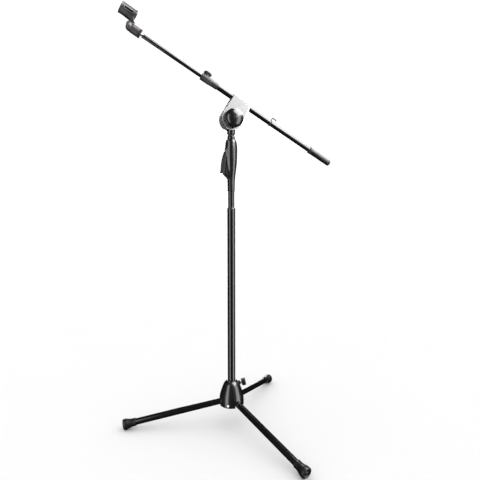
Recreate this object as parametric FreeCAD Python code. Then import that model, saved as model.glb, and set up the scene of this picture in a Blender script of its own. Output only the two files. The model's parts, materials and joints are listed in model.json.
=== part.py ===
import FreeCAD, Part
import math
import os

from FreeCAD import Vector

# Boom microphone stand with a squeeze grip. Millimetres, +Z up.
# The origin is on the floor, on the column's axis. The boom lies in the XZ plane,
# with the microphone towards -X and the rear grip towards +X.

os.makedirs("parts", exist_ok=True)

# ---- driving dimensions ----

# clearances
fit_gap = 0.05          # pieces fixed to each other
running_gap = 0.06      # a shaft in its hole
slide_gap = 0.10        # a tube in its guide
moving_gap = 0.30       # pieces that pass each other
open_gap = 1.0          # visible gap round a moving piece

# column
lower_tube_r = 12.5
lower_tube_wall = 1.5
lower_tube_top = 703.0
upper_tube_r = 10.0
upper_tube_wall = 1.2
upper_tube_below_collar = 10.5
upper_tube_below_grip = 576.0
column_gap = 51.0           # bare upper tube between the bush and the grip
bush_height = 12.0
bush_lip = 0.45
bush_depth = 40.0
bush_chamfer = 2.5
fork_slot_half = 6.5        # slot in the upper tube that the trigger's fork works in
fork_slot_below = 8.0
fork_slot_above = 11.0

# base
leg_count = 3
first_leg_deg = 167.0
leg_tube_r = 10.0
leg_tube_wall = 1.2
leg_axis_height = 88.0
sole_circle_r = 347.0
foot_r = 17.0
foot_neck_r = 12.2
foot_length = 40.0
foot_socket = 27.0
sole_flat = 0.7
sole_ahead = 4.0            # the foot's end beyond the sole's circle
toe_hollow = 1.2
leg_tube_from_pin = 13.0
leg_spigot = 25.0
leg_shoulder = 1.5
bell_r = 40.0
bell_top_r = 17.0
bell_height = 79.0
bell_floor = 70.0
bell_wall = 3.0
bell_rim = 2.0              # raised ring round the column at the bell's top
bell_rim_step = 1.0
bell_lip = 6.0
core_below_top = 6.0
column_lift = 4.0           # the column's lower end above the bell's floor
ear_to_core = 1.4
hub_pin_r = 2.5
ear_r = 7.5
ear_gap = 10.6
ear_thickness = 4.0
core_wall = 3.6
pin_proud = 0.6
core_below_bell = 2.5
screw_turn_deg = 70.0
screw_height = 79.0
screw_r = 2.0
screw_head_r = 3.6
screw_head_height = 2.0
screw_tip = 26.0            # from the column's axis
screw_post_r = 4.6
screw_slot_half = 0.5
screw_slot_reach = 2.4
base_knob_r = 12.2
base_knob_length = 14.0
base_knob_distance = 33.0
base_knob_height = 143.0
base_knob_rise_deg = 10.0
base_knob_flutes = 10
knob_rounding = 1.2
boss_r = 7.0
boss_start = 18.0
boss_to_knob = 3.0
stud_to_tube = 1.2
flute_r = 2.4
knob_socket = 9.0
stud_end_gap = 0.5
base_stud_r = 3.0
plug_height = 16.0
plug_flange = 3.4
plug_flange_over_tube = 1.3

# brake inside the column
brake_length = 42.0
brake_slits = 3
slit_half = 1.0
brake_spigot = 14.0
cone_above_sleeve = 6.0
cone_length = 26.0
cone_top_r = 8.1
cone_bottom_r = 5.6
rod_r = 2.5
spring_free = 40.0
spring_wire_r = 0.9
spring_r = 5.6
spring_turns = 7
seat_height = 8.0
rod_end = 1.0

# grip and trigger
grip_length = 159.0
grip_wall = 2.4
grip_shoulder = 2.5         # from the end of its side line to the collar
cavity_start = 0.27         # share of the grip's length that is solid at its lower end
grip_top_r = 12.6
collar_r = 11.85
collar_height = 9.5
ring_r = 10.4
ring_height = 4.8
spigot_depth = 26.0
stud_r = 4.0
pin_r = 2.0
pin_offset = 14.0
pin_below_top = 37.0
trigger_width = 14.0
fin_wall = 2.2
trigger_reach = 37.0
trigger_drop = 66.0
trigger_below = 3.6         # room under the lever's tip
trigger_side_gap = 0.6
channel_above_pin = 7.6
lever_rounding = 2.5
fin_rounding = 2.0
fork_side_gap = 0.6
fork_thickness = 5.0
cap_r = 5.6
cap_height = 4.0
grip_screw_r = 1.6
grip_screw_head_r = 2.9
grip_screw_sink = 6.0       # depth of the head's seat from the middle plane
grip_screw_head = 2.2
grip_screw_tip = 5.0
grip_post_r = 3.0
grip_post_reach = 16.5

# head and clamp
pivot_above_neck = 46.0
neck_r = 12.5
neck_rounding = 1.2
stud_into_head = 6.0
stud_end_room = 1.0
stem_overlap = 9.0          # how far the stem runs up into the disc
head_disc_r = 27.0
head_thickness = 22.0
friction_r = 26.0
boom_offset = 61.2
boom_tilt_deg = 29.3
strap_beside_boom = 8.75
strap_sheet = 2.5
strap_half_length = 30.0
strap_round_r = 34.0
strap_over_boom = 5.15
strap_bend_r = 7.0
liner_under_boom = 4.75
lug_half_length = 15.5
lug_width = 12.0
lug_proud = 3.0
liner_slit_half = 1.2
liner_end_gap = 1.0
bolt_r = 4.0
bolt_head_r = 9.0
bolt_head_height = 4.0
washer_r = 12.0
washer_sheet = 2.0
knob_r = 28.5
knob_skirt = 18.0
knob_depth = 32.5
insert_r = 8.0
insert_length = 16.0
cover_r = 26.0
cover_depth = 10.0
cover_wall = 2.2
cover_rounding = 4.0

# boom
outer_r = 8.25
outer_wall = 1.2
outer_front = 95.0
outer_rear = 362.0
inner_r = 6.15
inner_wall = 1.0
inner_front = 338.0
inner_rear = 60.0
sleeve_front = 142.0
sleeve_rear = 84.0
sleeve_wall = 2.95
sleeve_tail_wall = 1.35
sleeve_head = 31.0
lock_boss_r = 9.5
lock_boss_height = 11.6
lock_knob_r = 13.0
lock_knob_height = 8.0
lock_socket = 5.0
lock_knob_flutes = 12
lock_from_end = 14.0
lock_screw_r = 3.0
rear_grip_wall = 2.15
rear_grip_tail_wall = 1.55
rear_grip_start = 283.0
rear_grip_end = 367.0
grip_ring_wall = 2.95
grip_ring_width = 4.5
clip_ring_start = 114.0
clip_ring_width = 4.0
clip_ring_wall = 1.5
hook_length = 16.0
hook_height = 11.5
hook_sheet = 2.2
hook_width = 6.0
hook_lip = 2.2
ring_bite = 0.6

# microphone clip
thread_r = 4.75
thread_length = 18.0
thread_flange = 2.0
stud_spigot = 18.0
spigot_bite = 0.5
nut_gap = 5.0
nut_r = 13.4
nut_thickness = 6.5
nut_chamfer = 1.2
socket_r = 12.8
socket_length = 22.0
socket_thread = 12.0
knuckle_forward = 7.0
knuckle_up = 2.5
knuckle_r = 11.5
tongue_width = 8.0
ear_inset = 2.6             # the fork's outer faces inside the socket's radius
ear_swing = 1.6             # room round the tongue's eye
eye_inset = 1.0
clip_nut_corner = 5.2
clip_nut_height = 3.8
clip_head_r = 4.6
clip_head_height = 3.2
clip_bolt_proud = 4.5
clip_slot_half = 0.6
clip_bolt_r = 2.5
clip_bore_r = 13.6
clip_wall = 2.8
clip_length = 46.0
clip_ahead = 22.0
clip_up = 30.7
clip_mouth_deg = 24.0
clip_rim = 0.8
clip_rim_width = 3.0
window_length = 24.0
window_low = -1.0
window_high = 9.0
web_width = 14.0
web_clear = 2.4
window_rounding = 2.5
neck_half = 9.0
neck_behind = 5.0

# ---- values that follow ----

lower_bore_r = lower_tube_r - lower_tube_wall
hub_pin_circle_r = lower_tube_r + core_wall + ear_r + ear_to_core
bush_top = lower_tube_top + bush_height
grip_bottom = bush_top + column_gap
grip_top = grip_bottom + grip_length
upper_tube_bottom = grip_bottom - upper_tube_below_grip
upper_bore_r = upper_tube_r - upper_tube_wall
collar_base = grip_top + grip_shoulder
upper_tube_top = collar_base - upper_tube_below_collar
collar_top = collar_base + collar_height
neck_base = collar_top + ring_height
pivot_height = neck_base + pivot_above_neck
pin_height = grip_top - pin_below_top
strap_width = 2 * (outer_r + strap_beside_boom)
strap_top = boom_offset + outer_r + strap_over_boom
cheek_inside = strap_width / 2 - strap_sheet
inner_bore_r = inner_r - inner_wall
outer_bore_r = outer_r - outer_wall
sleeve_r = outer_r + sleeve_wall
sleeve_tail_r = outer_r + sleeve_tail_wall
rear_grip_r = outer_r + rear_grip_wall
rear_grip_tail_r = outer_r + rear_grip_tail_wall
grip_ring_r = outer_r + grip_ring_wall
knuckle_x = inner_front + nut_gap + nut_thickness + fit_gap * 6 + socket_length + knuckle_forward
clip_centre_x = knuckle_x + clip_ahead
clip_centre_z = knuckle_up + clip_up
bell_top = bell_floor + bell_height
column_bottom = bell_floor + column_lift
bend_share = 1 - math.sqrt(0.5)   # how far a quarter arc's middle lies from each of its tangents
behind_all = 60.0           # half size of a tool that cuts past everything


def slope_of_legs():
    """Angle of a leg below the horizontal, so that its foot's rim dips just under the floor."""
    slope = 0.2
    for _ in range(30):
        drop = leg_axis_height + sole_flat - foot_r * math.cos(slope)
        slope = math.atan(drop / sole_circle_r)
    return slope


leg_slope = slope_of_legs()
leg_reach = sole_circle_r / math.cos(leg_slope)
pin_along_leg = hub_pin_circle_r / math.cos(leg_slope)


# ---- shape helpers ----

AXES = {"x": Vector(1, 0, 0), "y": Vector(0, 1, 0), "z": Vector(0, 0, 1)}


def point(axis, along, across=(0.0, 0.0)):
    """A point at a distance along an axis, with its two other coordinates in x, y, z order."""
    first, second = across
    if axis == "x":
        return Vector(along, first, second)
    if axis == "y":
        return Vector(first, along, second)
    return Vector(first, second, along)


def rod(radius, start, end, axis="z", across=(0.0, 0.0)):
    """A solid cylinder between two places on an axis."""
    low, high = min(start, end), max(start, end)
    return Part.makeCylinder(radius, high - low, point(axis, low, across), AXES[axis])


def pipe(outer, inner, start, end, axis="z", across=(0.0, 0.0)):
    """A cylinder with a bore right through it."""
    low, high = min(start, end), max(start, end)
    return rod(outer, low, high, axis, across).cut(rod(inner, low - 1, high + 1, axis, across))


def block(x_low, x_high, y_low, y_high, z_low, z_high):
    """A box between two corners."""
    return Part.makeBox(x_high - x_low, y_high - y_low, z_high - z_low, Vector(x_low, y_low, z_low))


def cone(radius_low, radius_high, low, high, axis="z", across=(0.0, 0.0)):
    """A truncated cone between two places on an axis."""
    return Part.makeCone(radius_low, radius_high, high - low, point(axis, low, across), AXES[axis])


def face_from(start, steps, plane="xz"):
    """A flat face bounded by lines and smooth curves, closed by a line back to its start."""
    def place(pair):
        if plane == "yz":
            return Vector(0, pair[0], pair[1])
        return Vector(pair[0], 0, pair[1])

    edges = []
    here = place(start)
    for kind, *pairs in steps:
        ends = [place(pair) for pair in pairs]
        if kind == "line":
            edges.append(Part.makeLine(here, ends[0]))
        elif kind == "arc":
            edges.append(Part.Arc(here, ends[0], ends[1]).toShape())
        else:
            curve = Part.BSplineCurve()
            curve.interpolate([here] + ends)
            edges.append(curve.toShape())
        here = ends[-1]
    if here.distanceToPoint(place(start)) > 1e-6:
        edges.append(Part.makeLine(here, place(start)))
    return Part.Face(Part.Wire(edges))


def turned(start, steps):
    """A solid turned about the Z axis from an outline of (radius, height) pairs."""
    return face_from(start, steps).revolve(Vector(0, 0, 0), Vector(0, 0, 1), 360)


def laid(shape, axis):
    """Turn a shape made about Z so that its height runs along X or along -Y."""
    turned_shape = shape.copy()
    if axis == "x":
        turned_shape.rotate(Vector(0, 0, 0), Vector(0, 1, 0), 90)
    elif axis == "-y":
        turned_shape.rotate(Vector(0, 0, 0), Vector(1, 0, 0), 90)
    else:
        turned_shape.rotate(Vector(0, 0, 0), Vector(1, 0, 0), -90)
    return turned_shape


def plate(start, steps, half_width, middle=0.0):
    """A flat outline in the XZ plane, thickened along Y."""
    flat = face_from(start, steps)
    flat.translate(Vector(0, middle - half_width, 0))
    return flat.extrude(Vector(0, 2 * half_width, 0))


def fluted(radius, height, count):
    """A hand knob along Z with round flutes and softened ends."""
    knob = rod(radius, 0, height)
    ends = [edge for edge in knob.Edges if abs(edge.Length - 2 * math.pi * radius) < 0.01]
    knob = knob.makeFillet(knob_rounding, ends)
    for index in range(count):
        angle = 2 * math.pi * index / count
        reach = radius + flute_r * 0.55
        at = (reach * math.cos(angle), reach * math.sin(angle))
        knob = knob.cut(rod(flute_r, -1, height + 1, "z", at))
    return knob


def about_z(shape, degrees):
    """A copy of a shape turned about the column's axis."""
    copy = shape.copy()
    copy.rotate(Vector(0, 0, 0), Vector(0, 0, 1), degrees)
    return copy


def on_leg(shape, index):
    """Place a shape made along +X from the column's axis onto one leg's sloping line."""
    copy = shape.copy()
    copy.rotate(Vector(0, 0, 0), Vector(0, 1, 0), math.degrees(leg_slope))
    copy.translate(Vector(0, 0, leg_axis_height))
    return about_z(copy, first_leg_deg + 360.0 / leg_count * index)


def on_boom(shape):
    """Place a shape made about the tilt pivot, with the boom level, at its resting tilt."""
    copy = shape.copy()
    copy.rotate(Vector(0, 0, 0), Vector(0, 1, 0), boom_tilt_deg)
    copy.translate(Vector(0, 0, pivot_height))
    return copy


parts = {}


def keep(name, shape):
    """Store one finished piece under its node name."""
    parts[name] = shape.removeSplitter()


# ---- base: hub ----

def leg_angles():
    """The direction of each leg round the column, in degrees."""
    return [first_leg_deg + 360.0 / leg_count * index for index in range(leg_count)]


def bell_side(inset):
    """The bell's side as (radius, height) pairs, moved inwards by a wall."""
    drop = bell_height
    shares = [(0.0, 1.0), (0.34, 0.885), (0.60, 0.705), (0.80, 0.53), (0.95, 0.37), (1.0, 0.20)]
    span = bell_r - bell_top_r
    return [(bell_top_r + span * out - inset, bell_floor + drop * up) for out, up in shares]


def base_knob_line():
    """A point on the base knob's axis and its direction."""
    turn = math.radians(first_leg_deg + 180.0)
    rise = math.radians(base_knob_rise_deg)
    out = Vector(math.cos(turn), math.sin(turn), 0)
    direction = out * math.cos(rise) + Vector(0, 0, math.sin(rise))
    middle = base_knob_distance + base_knob_length / 2
    through = out * middle + Vector(0, 0, base_knob_height)
    return through, direction


def along_knob(shape):
    """Place a shape made along Z, with distances counted from the column, on the knob's axis."""
    through, direction = base_knob_line()
    copy = shape.copy()
    middle = base_knob_distance + base_knob_length / 2
    start = through - direction * (middle / math.cos(math.radians(base_knob_rise_deg)))
    copy.Placement = FreeCAD.Placement(start, FreeCAD.Rotation(Vector(0, 0, 1), direction))
    return copy


def make_hub():
    side = bell_side(0.0)
    outer = turned(
        (0.0, bell_top + bell_rim),
        [("line", (bell_top_r - bell_rim_step, bell_top + bell_rim)),
         ("line", side[0]),
         ("curve", *side[1:]),
         ("line", (bell_r, bell_floor + bell_lip)),
         ("arc", (bell_r - 0.9, bell_floor + 2.2), (bell_r - 3.0, bell_floor)),
         ("line", (0.0, bell_floor))])
    inside = bell_side(bell_wall)
    core_top = bell_top - core_below_top
    hollow = turned(
        (0.0, core_top),
        [("line", (inside[0][0] - 0.5, core_top)),
         ("curve", *inside[1:]),
         ("line", (bell_r - bell_wall, bell_floor - 1.0)),
         ("line", (0.0, bell_floor - 1.0))])
    boss_end = base_knob_distance - boss_to_knob
    boss = along_knob(rod(boss_r, boss_start, boss_end))
    bell = outer.fuse(boss.cut(rod(lower_tube_r + column_lift, 0, bell_top + behind_all)))
    bell = bell.cut(hollow)
    bell = bell.cut(rod(lower_tube_r + fit_gap, 0, bell_top + behind_all))
    bell = bell.cut(along_knob(rod(base_stud_r + running_gap, 0, boss_end + 1)))
    notch_r = leg_tube_r + open_gap
    notch = rod(notch_r, notch_r, bell_r + behind_all, "x")
    notch = notch.fuse(block(notch_r, bell_r + behind_all, -notch_r, notch_r, -behind_all, 0))
    for index in range(leg_count):
        bell = bell.cut(on_leg(notch, index))
    for angle in leg_angles():
        hole = rod(screw_r + fit_gap, bell_r / 2, behind_all, "x", (0.0, screw_height))
        bell = bell.cut(about_z(hole, angle + screw_turn_deg))
    keep("hub_housing", bell)

    core_r = lower_tube_r + core_wall
    core = pipe(core_r, lower_tube_r + fit_gap, column_bottom, core_top - core_below_bell)
    pin_z = leg_axis_height - hub_pin_circle_r * math.tan(leg_slope)
    for angle in leg_angles():
        for side_sign in (-1, 1):
            middle = side_sign * (ear_gap + ear_thickness) / 2
            half = ear_thickness / 2
            ear = rod(ear_r, middle - half, middle + half, "y", (hub_pin_circle_r, pin_z))
            arm = block(lower_tube_r + 1, hub_pin_circle_r, middle - half, middle + half,
                        pin_z - ear_r, pin_z + ear_r)
            core = core.fuse(about_z(ear.fuse(arm), angle))
        hole = rod(hub_pin_r + fit_gap, -behind_all, behind_all, "y", (hub_pin_circle_r, pin_z))
        core = core.cut(about_z(hole, angle))
        post_end = bell_r - bell_wall - open_gap
        post = rod(screw_post_r, lower_tube_r + 1, post_end, "x", (0.0, screw_height))
        core = core.fuse(about_z(post, angle + screw_turn_deg))
    core = core.cut(rod(lower_tube_r + fit_gap, 0, bell_top))
    for angle in leg_angles():
        bore = rod(screw_r + fit_gap, screw_tip - 2, behind_all, "x", (0.0, screw_height))
        core = core.cut(about_z(bore, angle + screw_turn_deg))
    core = core.cut(along_knob(rod(base_stud_r + running_gap, 0, behind_all)))
    keep("hub_core", core)

    pins = []
    screws = []
    half_pin = ear_gap / 2 + ear_thickness + pin_proud
    for angle in leg_angles():
        pins.append(about_z(rod(hub_pin_r, -half_pin, half_pin, "y", (hub_pin_circle_r, pin_z)), angle))
        shank = rod(screw_r, screw_tip, bell_r + slide_gap * 2, "x", (0.0, screw_height))
        head = rod(screw_head_r, bell_r + slide_gap, bell_r + screw_head_height, "x", (0.0, screw_height))
        head = head.makeFillet(screw_head_height / 3, [head.Edges[0]])
        slot = block(bell_r + screw_head_height / 2, bell_r + behind_all, -screw_slot_half, screw_slot_half,
                     screw_height - screw_slot_reach, screw_height + screw_slot_reach)
        screws.append(about_z(shank.fuse(head).cut(slot), angle + screw_turn_deg))
    keep("leg_pivot_pins", Part.makeCompound(pins))
    keep("hub_screws", Part.makeCompound(screws))

    flange_top = column_bottom - fit_gap
    plug = rod(lower_bore_r - fit_gap, flange_top, column_bottom + plug_height)
    plug = plug.fuse(rod(lower_tube_r + plug_flange_over_tube, flange_top - plug_flange, flange_top))
    keep("hub_bottom_plug", plug)


def make_base_knob():
    knob = fluted(base_knob_r, base_knob_length, base_knob_flutes)
    knob.translate(Vector(0, 0, base_knob_distance))
    bore = rod(base_stud_r + fit_gap, base_knob_distance - 1, base_knob_distance + knob_socket)
    keep("base_knob", along_knob(knob.cut(bore)))
    tip = lower_tube_r / math.cos(math.radians(base_knob_rise_deg)) + stud_to_tube
    stud_end = base_knob_distance + knob_socket - stud_end_gap
    keep("base_knob_stud", along_knob(rod(base_stud_r, tip, stud_end)))


# ---- base: legs ----

def make_legs():
    foot_end = leg_reach + sole_ahead
    tube_start = pin_along_leg + leg_tube_from_pin
    tube_end = foot_end - foot_length + foot_socket - fit_gap
    tube = pipe(leg_tube_r, leg_tube_r - leg_tube_wall, tube_start, tube_end, "x")

    tongue_half = ear_gap / 2 - moving_gap
    shoulder = pin_along_leg + ear_r + leg_shoulder
    tongue_r = ear_r - pin_proud
    tongue = rod(tongue_r, -tongue_half, tongue_half, "y", (pin_along_leg, 0.0))
    tongue = tongue.fuse(block(pin_along_leg, shoulder + 2, -tongue_half, tongue_half, -tongue_r, tongue_r))
    bracket = tongue.fuse(rod(leg_tube_r, shoulder, tube_start - fit_gap, "x"))
    spigot_r = leg_tube_r - leg_tube_wall - fit_gap
    bracket = bracket.fuse(rod(spigot_r, tube_start - 1, tube_start + leg_spigot, "x"))
    bracket = bracket.cut(rod(hub_pin_r + running_gap, -behind_all, behind_all, "y", (pin_along_leg, 0.0)))

    start = foot_end - foot_length
    foot = turned(
        (0.0, start),
        [("line", (foot_neck_r - 1.0, start)),
         ("line", (foot_neck_r, start + 1.0)),
         ("line", (foot_neck_r + 0.3, start + 14.0)),
         ("curve", (foot_neck_r + 2.0, start + 22.0), (foot_r - 0.6, start + 29.0), (foot_r, start + 33.0)),
         ("line", (foot_r, foot_end - 3.0)),
         ("arc", (foot_r - 0.8, foot_end - 0.9), (foot_r - 2.8, foot_end)),
         ("line", (5.0, foot_end)),
         ("line", (4.0, foot_end - toe_hollow)),
         ("line", (0.0, foot_end - toe_hollow))])
    foot = laid(foot, "x")
    foot = foot.cut(rod(leg_tube_r + fit_gap, start - 1, start + foot_socket, "x"))
    for index in range(leg_count):
        number = index + 1
        keep("leg_tube_%d" % number, on_leg(tube, index))
        keep("leg_bracket_%d" % number, on_leg(bracket, index))
        under_floor = block(-500, 500, -500, 500, -50, 0)
        keep("foot_%d" % number, on_leg(foot, index).cut(under_floor))


# ---- column ----

def make_column():
    keep("lower_tube", pipe(lower_tube_r, lower_bore_r, column_bottom, lower_tube_top))

    lip_r = lower_tube_r + bush_lip
    flange = turned(
        (0.0, lower_tube_top + fit_gap),
        [("line", (lip_r, lower_tube_top + fit_gap)),
         ("line", (lip_r, bush_top - bush_chamfer)),
         ("line", (lip_r - 0.9, bush_top - 0.6)),
         ("line", (lip_r - 1.6, bush_top)),
         ("line", (0.0, bush_top))])
    bush = flange.fuse(rod(lower_bore_r - fit_gap, lower_tube_top - bush_depth, lower_tube_top + 1))
    keep("column_bush", bush.cut(rod(upper_tube_r + slide_gap, lower_tube_top - behind_all, bush_top + 5)))

    tube = pipe(upper_tube_r, upper_bore_r, upper_tube_bottom, upper_tube_top)
    slot = block(-2 * upper_tube_r, 0, -fork_slot_half, fork_slot_half,
                 pin_height - fork_slot_below, pin_height + fork_slot_above)
    keep("upper_tube", tube.cut(slot))


def make_brake():
    sleeve_top = upper_tube_bottom + brake_spigot
    sleeve_bottom = upper_tube_bottom - brake_length
    sleeve = rod(lower_bore_r - moving_gap / 2, sleeve_bottom, upper_tube_bottom - fit_gap)
    sleeve = sleeve.fuse(rod(upper_bore_r - fit_gap, upper_tube_bottom - 1, sleeve_top))
    cone_bottom = sleeve_bottom + cone_above_sleeve
    cone_top = cone_bottom + cone_length
    bore_r = cone_top_r + running_gap * 2
    sleeve = sleeve.cut(cone(cone_bottom_r + moving_gap, bore_r + moving_gap, cone_bottom, cone_top))
    sleeve = sleeve.cut(rod(cone_bottom_r + moving_gap, sleeve_bottom - 1, cone_bottom))
    sleeve = sleeve.cut(rod(bore_r + moving_gap - 0.9, cone_top, sleeve_top + 1))
    for index in range(brake_slits):
        slit = block(rod_r, lower_tube_r, -slit_half, slit_half, sleeve_bottom - 1, cone_top + 2)
        sleeve = sleeve.cut(about_z(slit, 360.0 / brake_slits * index))
    keep("brake_sleeve", sleeve)

    wedge = cone(cone_bottom_r, cone_top_r - 1.0, cone_bottom + 1.0, cone_top - 1.0)
    keep("brake_cone", wedge.cut(rod(rod_r + fit_gap, cone_bottom, cone_top)))

    fork_top = pin_height + fork_thickness / 2
    cap_base = fork_top + moving_gap
    keep("pull_rod", rod(rod_r, cone_bottom - rod_end, cap_base))
    cap = rod(cap_r, cap_base + fit_gap, cap_base + cap_height)
    keep("rod_cap", cap.makeFillet(0.8, [cap.Edges[0]]))

    spring_bottom = cone_top - 1.0 + fit_gap
    spring_top = spring_bottom + spring_free
    wire_path = Part.makeHelix((spring_free - 3 * spring_wire_r) / spring_turns,
                               spring_free - 3 * spring_wire_r, spring_r)
    section = Part.Wire(Part.makeCircle(spring_wire_r, Vector(spring_r, 0, 0), Vector(0, 1, 0)))
    coil = Part.Wire(wire_path).makePipeShell([section], True, True)
    coil.translate(Vector(0, 0, spring_bottom + 1.5 * spring_wire_r))
    keep("brake_spring", coil)
    seat = rod(upper_bore_r - fit_gap, spring_top + fit_gap, spring_top + seat_height)
    keep("spring_seat", seat.cut(rod(rod_r + slide_gap, 0, pin_height)))
    return spring_top


# ---- grip and trigger ----

def grip_side(inset):
    """The grip's side as (radius, height) pairs, from its bottom to its shoulder."""
    shares = [(11.4, 0.0), (11.5, 0.13), (12.5, 0.25), (14.6, 0.365), (16.9, 0.485), (18.4, 0.60),
              (19.1, 0.72), (19.2, 0.825), (18.5, 0.895), (17.2, 0.955), (15.2, 1.0)]
    return [(radius - inset, grip_bottom + grip_length * up) for radius, up in shares]


def make_grip():
    side = grip_side(0.0)
    body = turned(
        (0.0, grip_bottom),
        [("line", (side[0][0] - 0.6, grip_bottom)),
         ("line", (side[0][0], grip_bottom + 0.8)),
         ("curve", *side[1:]),
         ("line", (grip_top_r, collar_base - fit_gap)),
         ("line", (0.0, collar_base - fit_gap))])
    fin_half = trigger_width / 2 + trigger_side_gap + fin_wall
    tip_z = pin_height - trigger_drop
    fin = plate(
        (-8.0, pin_height + 10.0),
        [("line", (-18.6, pin_height + 9.0)),
         ("curve", (-20.6, pin_height - 8.0), (-23.6, pin_height - 35.0), (-26.5, tip_z - 1.5)),
         ("curve", (-20.5, tip_z - 8.0), (-11.4, tip_z - 17.0)),
         ("line", (-8.0, tip_z - 17.0))], fin_half)
    lengthwise = [edge for edge in fin.Edges if edge.BoundBox.YLength < 0.01 and edge.BoundBox.XMin < -17]
    fin = fin.makeFillet(fin_rounding, [edge for edge in lengthwise if edge.BoundBox.ZLength > 30])
    body = body.fuse(fin)

    inside = grip_side(grip_wall)
    cavity_low = grip_bottom + cavity_start * grip_length
    cavity = turned(
        (0.0, cavity_low),
        [("line", (inside[3][0] - 1.8, cavity_low + 3.0)),
         ("curve", *inside[3:9]),
         ("line", (0.0, inside[8][1]))])
    slot_half = trigger_width / 2 + trigger_side_gap
    floor_z = tip_z - trigger_below
    channel = plate(
        (0.0, pin_height + channel_above_pin),
        [("line", (-30.0, pin_height + channel_above_pin)),
         ("line", (-behind_all, tip_z)),
         ("line", (-behind_all, floor_z)),
         ("line", (-upper_tube_r - 1.5, floor_z)),
         ("line", (-6.0, tip_z + 8.0))], slot_half)
    body = body.cut(cavity).cut(channel)
    body = body.cut(rod(upper_tube_r + fit_gap, grip_bottom - behind_all, upper_tube_top + fit_gap))
    body = body.cut(rod(upper_tube_r, upper_tube_top, collar_base + 5))
    body = body.cut(rod(pin_r + fit_gap, -behind_all, behind_all, "y", (-pin_offset, pin_height)))
    screw_places = [(13.2, pin_height + 4.0), (12.4, pin_height - 50.0)]
    for place in screw_places:
        post = rod(grip_post_r, -grip_post_reach, grip_post_reach, "y", place)
        shell_only = turned((0.0, grip_bottom), [("line", side[0]), ("curve", *side[1:]),
                                                 ("line", (0.0, grip_top))])
        body = body.fuse(post.common(shell_only).cut(rod(upper_tube_r + open_gap, grip_bottom, grip_top)))
    for place in screw_places:
        body = body.cut(rod(grip_screw_r + fit_gap, -behind_all, behind_all, "y", place))
        body = body.cut(rod(grip_screw_head_r + moving_gap, grip_screw_sink, behind_all, "y", place))
    half = block(-behind_all, behind_all, -behind_all, 0, grip_bottom - behind_all, grip_top + behind_all)
    keep("grip_shell_front", body.common(half))
    keep("grip_shell_back", body.cut(half))

    screws = []
    for place in screw_places:
        shank = rod(grip_screw_r, -grip_screw_tip, grip_screw_sink, "y", place)
        head_end = grip_screw_sink + grip_screw_head
        screws.append(shank.fuse(rod(grip_screw_head_r, grip_screw_sink + fit_gap, head_end, "y", place)))
    keep("grip_screws", Part.makeCompound(screws))
    pin_half = fin_half - moving_gap
    keep("trigger_pin", rod(pin_r, -pin_half, pin_half, "y", (-pin_offset, pin_height)))


def make_trigger():
    half = trigger_width / 2
    tip_z = pin_height - trigger_drop
    lever = plate(
        (-pin_offset + 1.0, pin_height + 5.6),
        [("line", (-19.6, pin_height + 5.0)),
         ("curve", (-24.0, pin_height - 2.0), (-29.3, pin_height - 18.0), (-32.6, pin_height - 35.0),
          (-34.0, tip_z + 14.0), (-trigger_reach, tip_z)),
         ("line", (-27.0, tip_z + 0.4)),
         ("line", (-21.5, tip_z + 5.0)),
         ("line", (-pin_offset + 0.8, pin_height - 8.0)),
         ("line", (-pin_offset + 4.0, pin_height - 3.0)),
         ("line", (-pin_offset + 4.0, pin_height + 3.0))], half)
    outer_edges = []
    for edge in lever.Edges:
        box = edge.BoundBox
        if box.YLength < 0.01 and box.ZLength > 30 and box.XMin < -30:
            outer_edges.append(edge)
    lever = lever.makeFillet(lever_rounding, outer_edges)
    fork_half = cap_r
    fork = block(-pin_offset, 0.0, -fork_half, fork_half,
                 pin_height - fork_thickness / 2, pin_height + fork_thickness / 2)
    fork = fork.cut(block(-rod_r - 1.5, 1.0, -rod_r - fork_side_gap, rod_r + fork_side_gap,
                          pin_height - fork_thickness, pin_height + fork_thickness))
    lever = lever.fuse(fork)
    lever = lever.cut(rod(pin_r + running_gap, -behind_all, behind_all, "y", (-pin_offset, pin_height)))
    keep("trigger_lever", lever)


# ---- neck and head ----

def make_neck():
    collar = rod(collar_r, collar_base, collar_top)
    rims = [edge for edge in collar.Edges if edge.Length > 2 * math.pi * (collar_r - 0.1)]
    collar = collar.makeFillet(neck_rounding, rims)
    spigot_low = collar_base - spigot_depth
    collar = collar.fuse(rod(upper_bore_r - fit_gap, spigot_low, collar_base + 2))
    keep("neck_collar", collar.cut(rod(stud_r + fit_gap, collar_base - behind_all, collar_top + 5)))

    keep("swivel_washer", pipe(ring_r, stud_r + fit_gap, collar_top + fit_gap, neck_base - moving_gap))
    stud_top = pivot_height - head_disc_r + stud_into_head
    keep("swivel_stud", rod(stud_r, spigot_low + 2.0, stud_top))

    stem_top = pivot_height - head_disc_r + stem_overlap
    stem = turned(
        (0.0, neck_base),
        [("line", (neck_r - neck_rounding, neck_base)),
         ("line", (neck_r, neck_base + neck_rounding)),
         ("line", (neck_r, stem_top - 6.0)),
         ("line", (neck_r - 1.6, stem_top + 4.0)),
         ("line", (0.0, stem_top + 4.0))])
    half = head_thickness / 2
    for side_sign in (-1, 1):
        middle = side_sign * (half + neck_r)
        flat_low = pivot_height - friction_r - open_gap
        stem = stem.cut(block(-behind_all, behind_all, middle - neck_r, middle + neck_r,
                              flat_low, pivot_height))
    disc = rod(head_disc_r, -half, half, "y", (0.0, pivot_height))
    rims = [edge for edge in disc.Edges if edge.Length > 2 * math.pi * (head_disc_r - 0.1)]
    head = stem.fuse(disc.makeFillet(1.5, rims))
    head = head.cut(rod(stud_r + running_gap, neck_base - 1, stud_top + stud_end_room))
    keep("swivel_head", head.cut(rod(bolt_r + running_gap, -behind_all, behind_all, "y", (0.0, pivot_height))))


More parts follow.
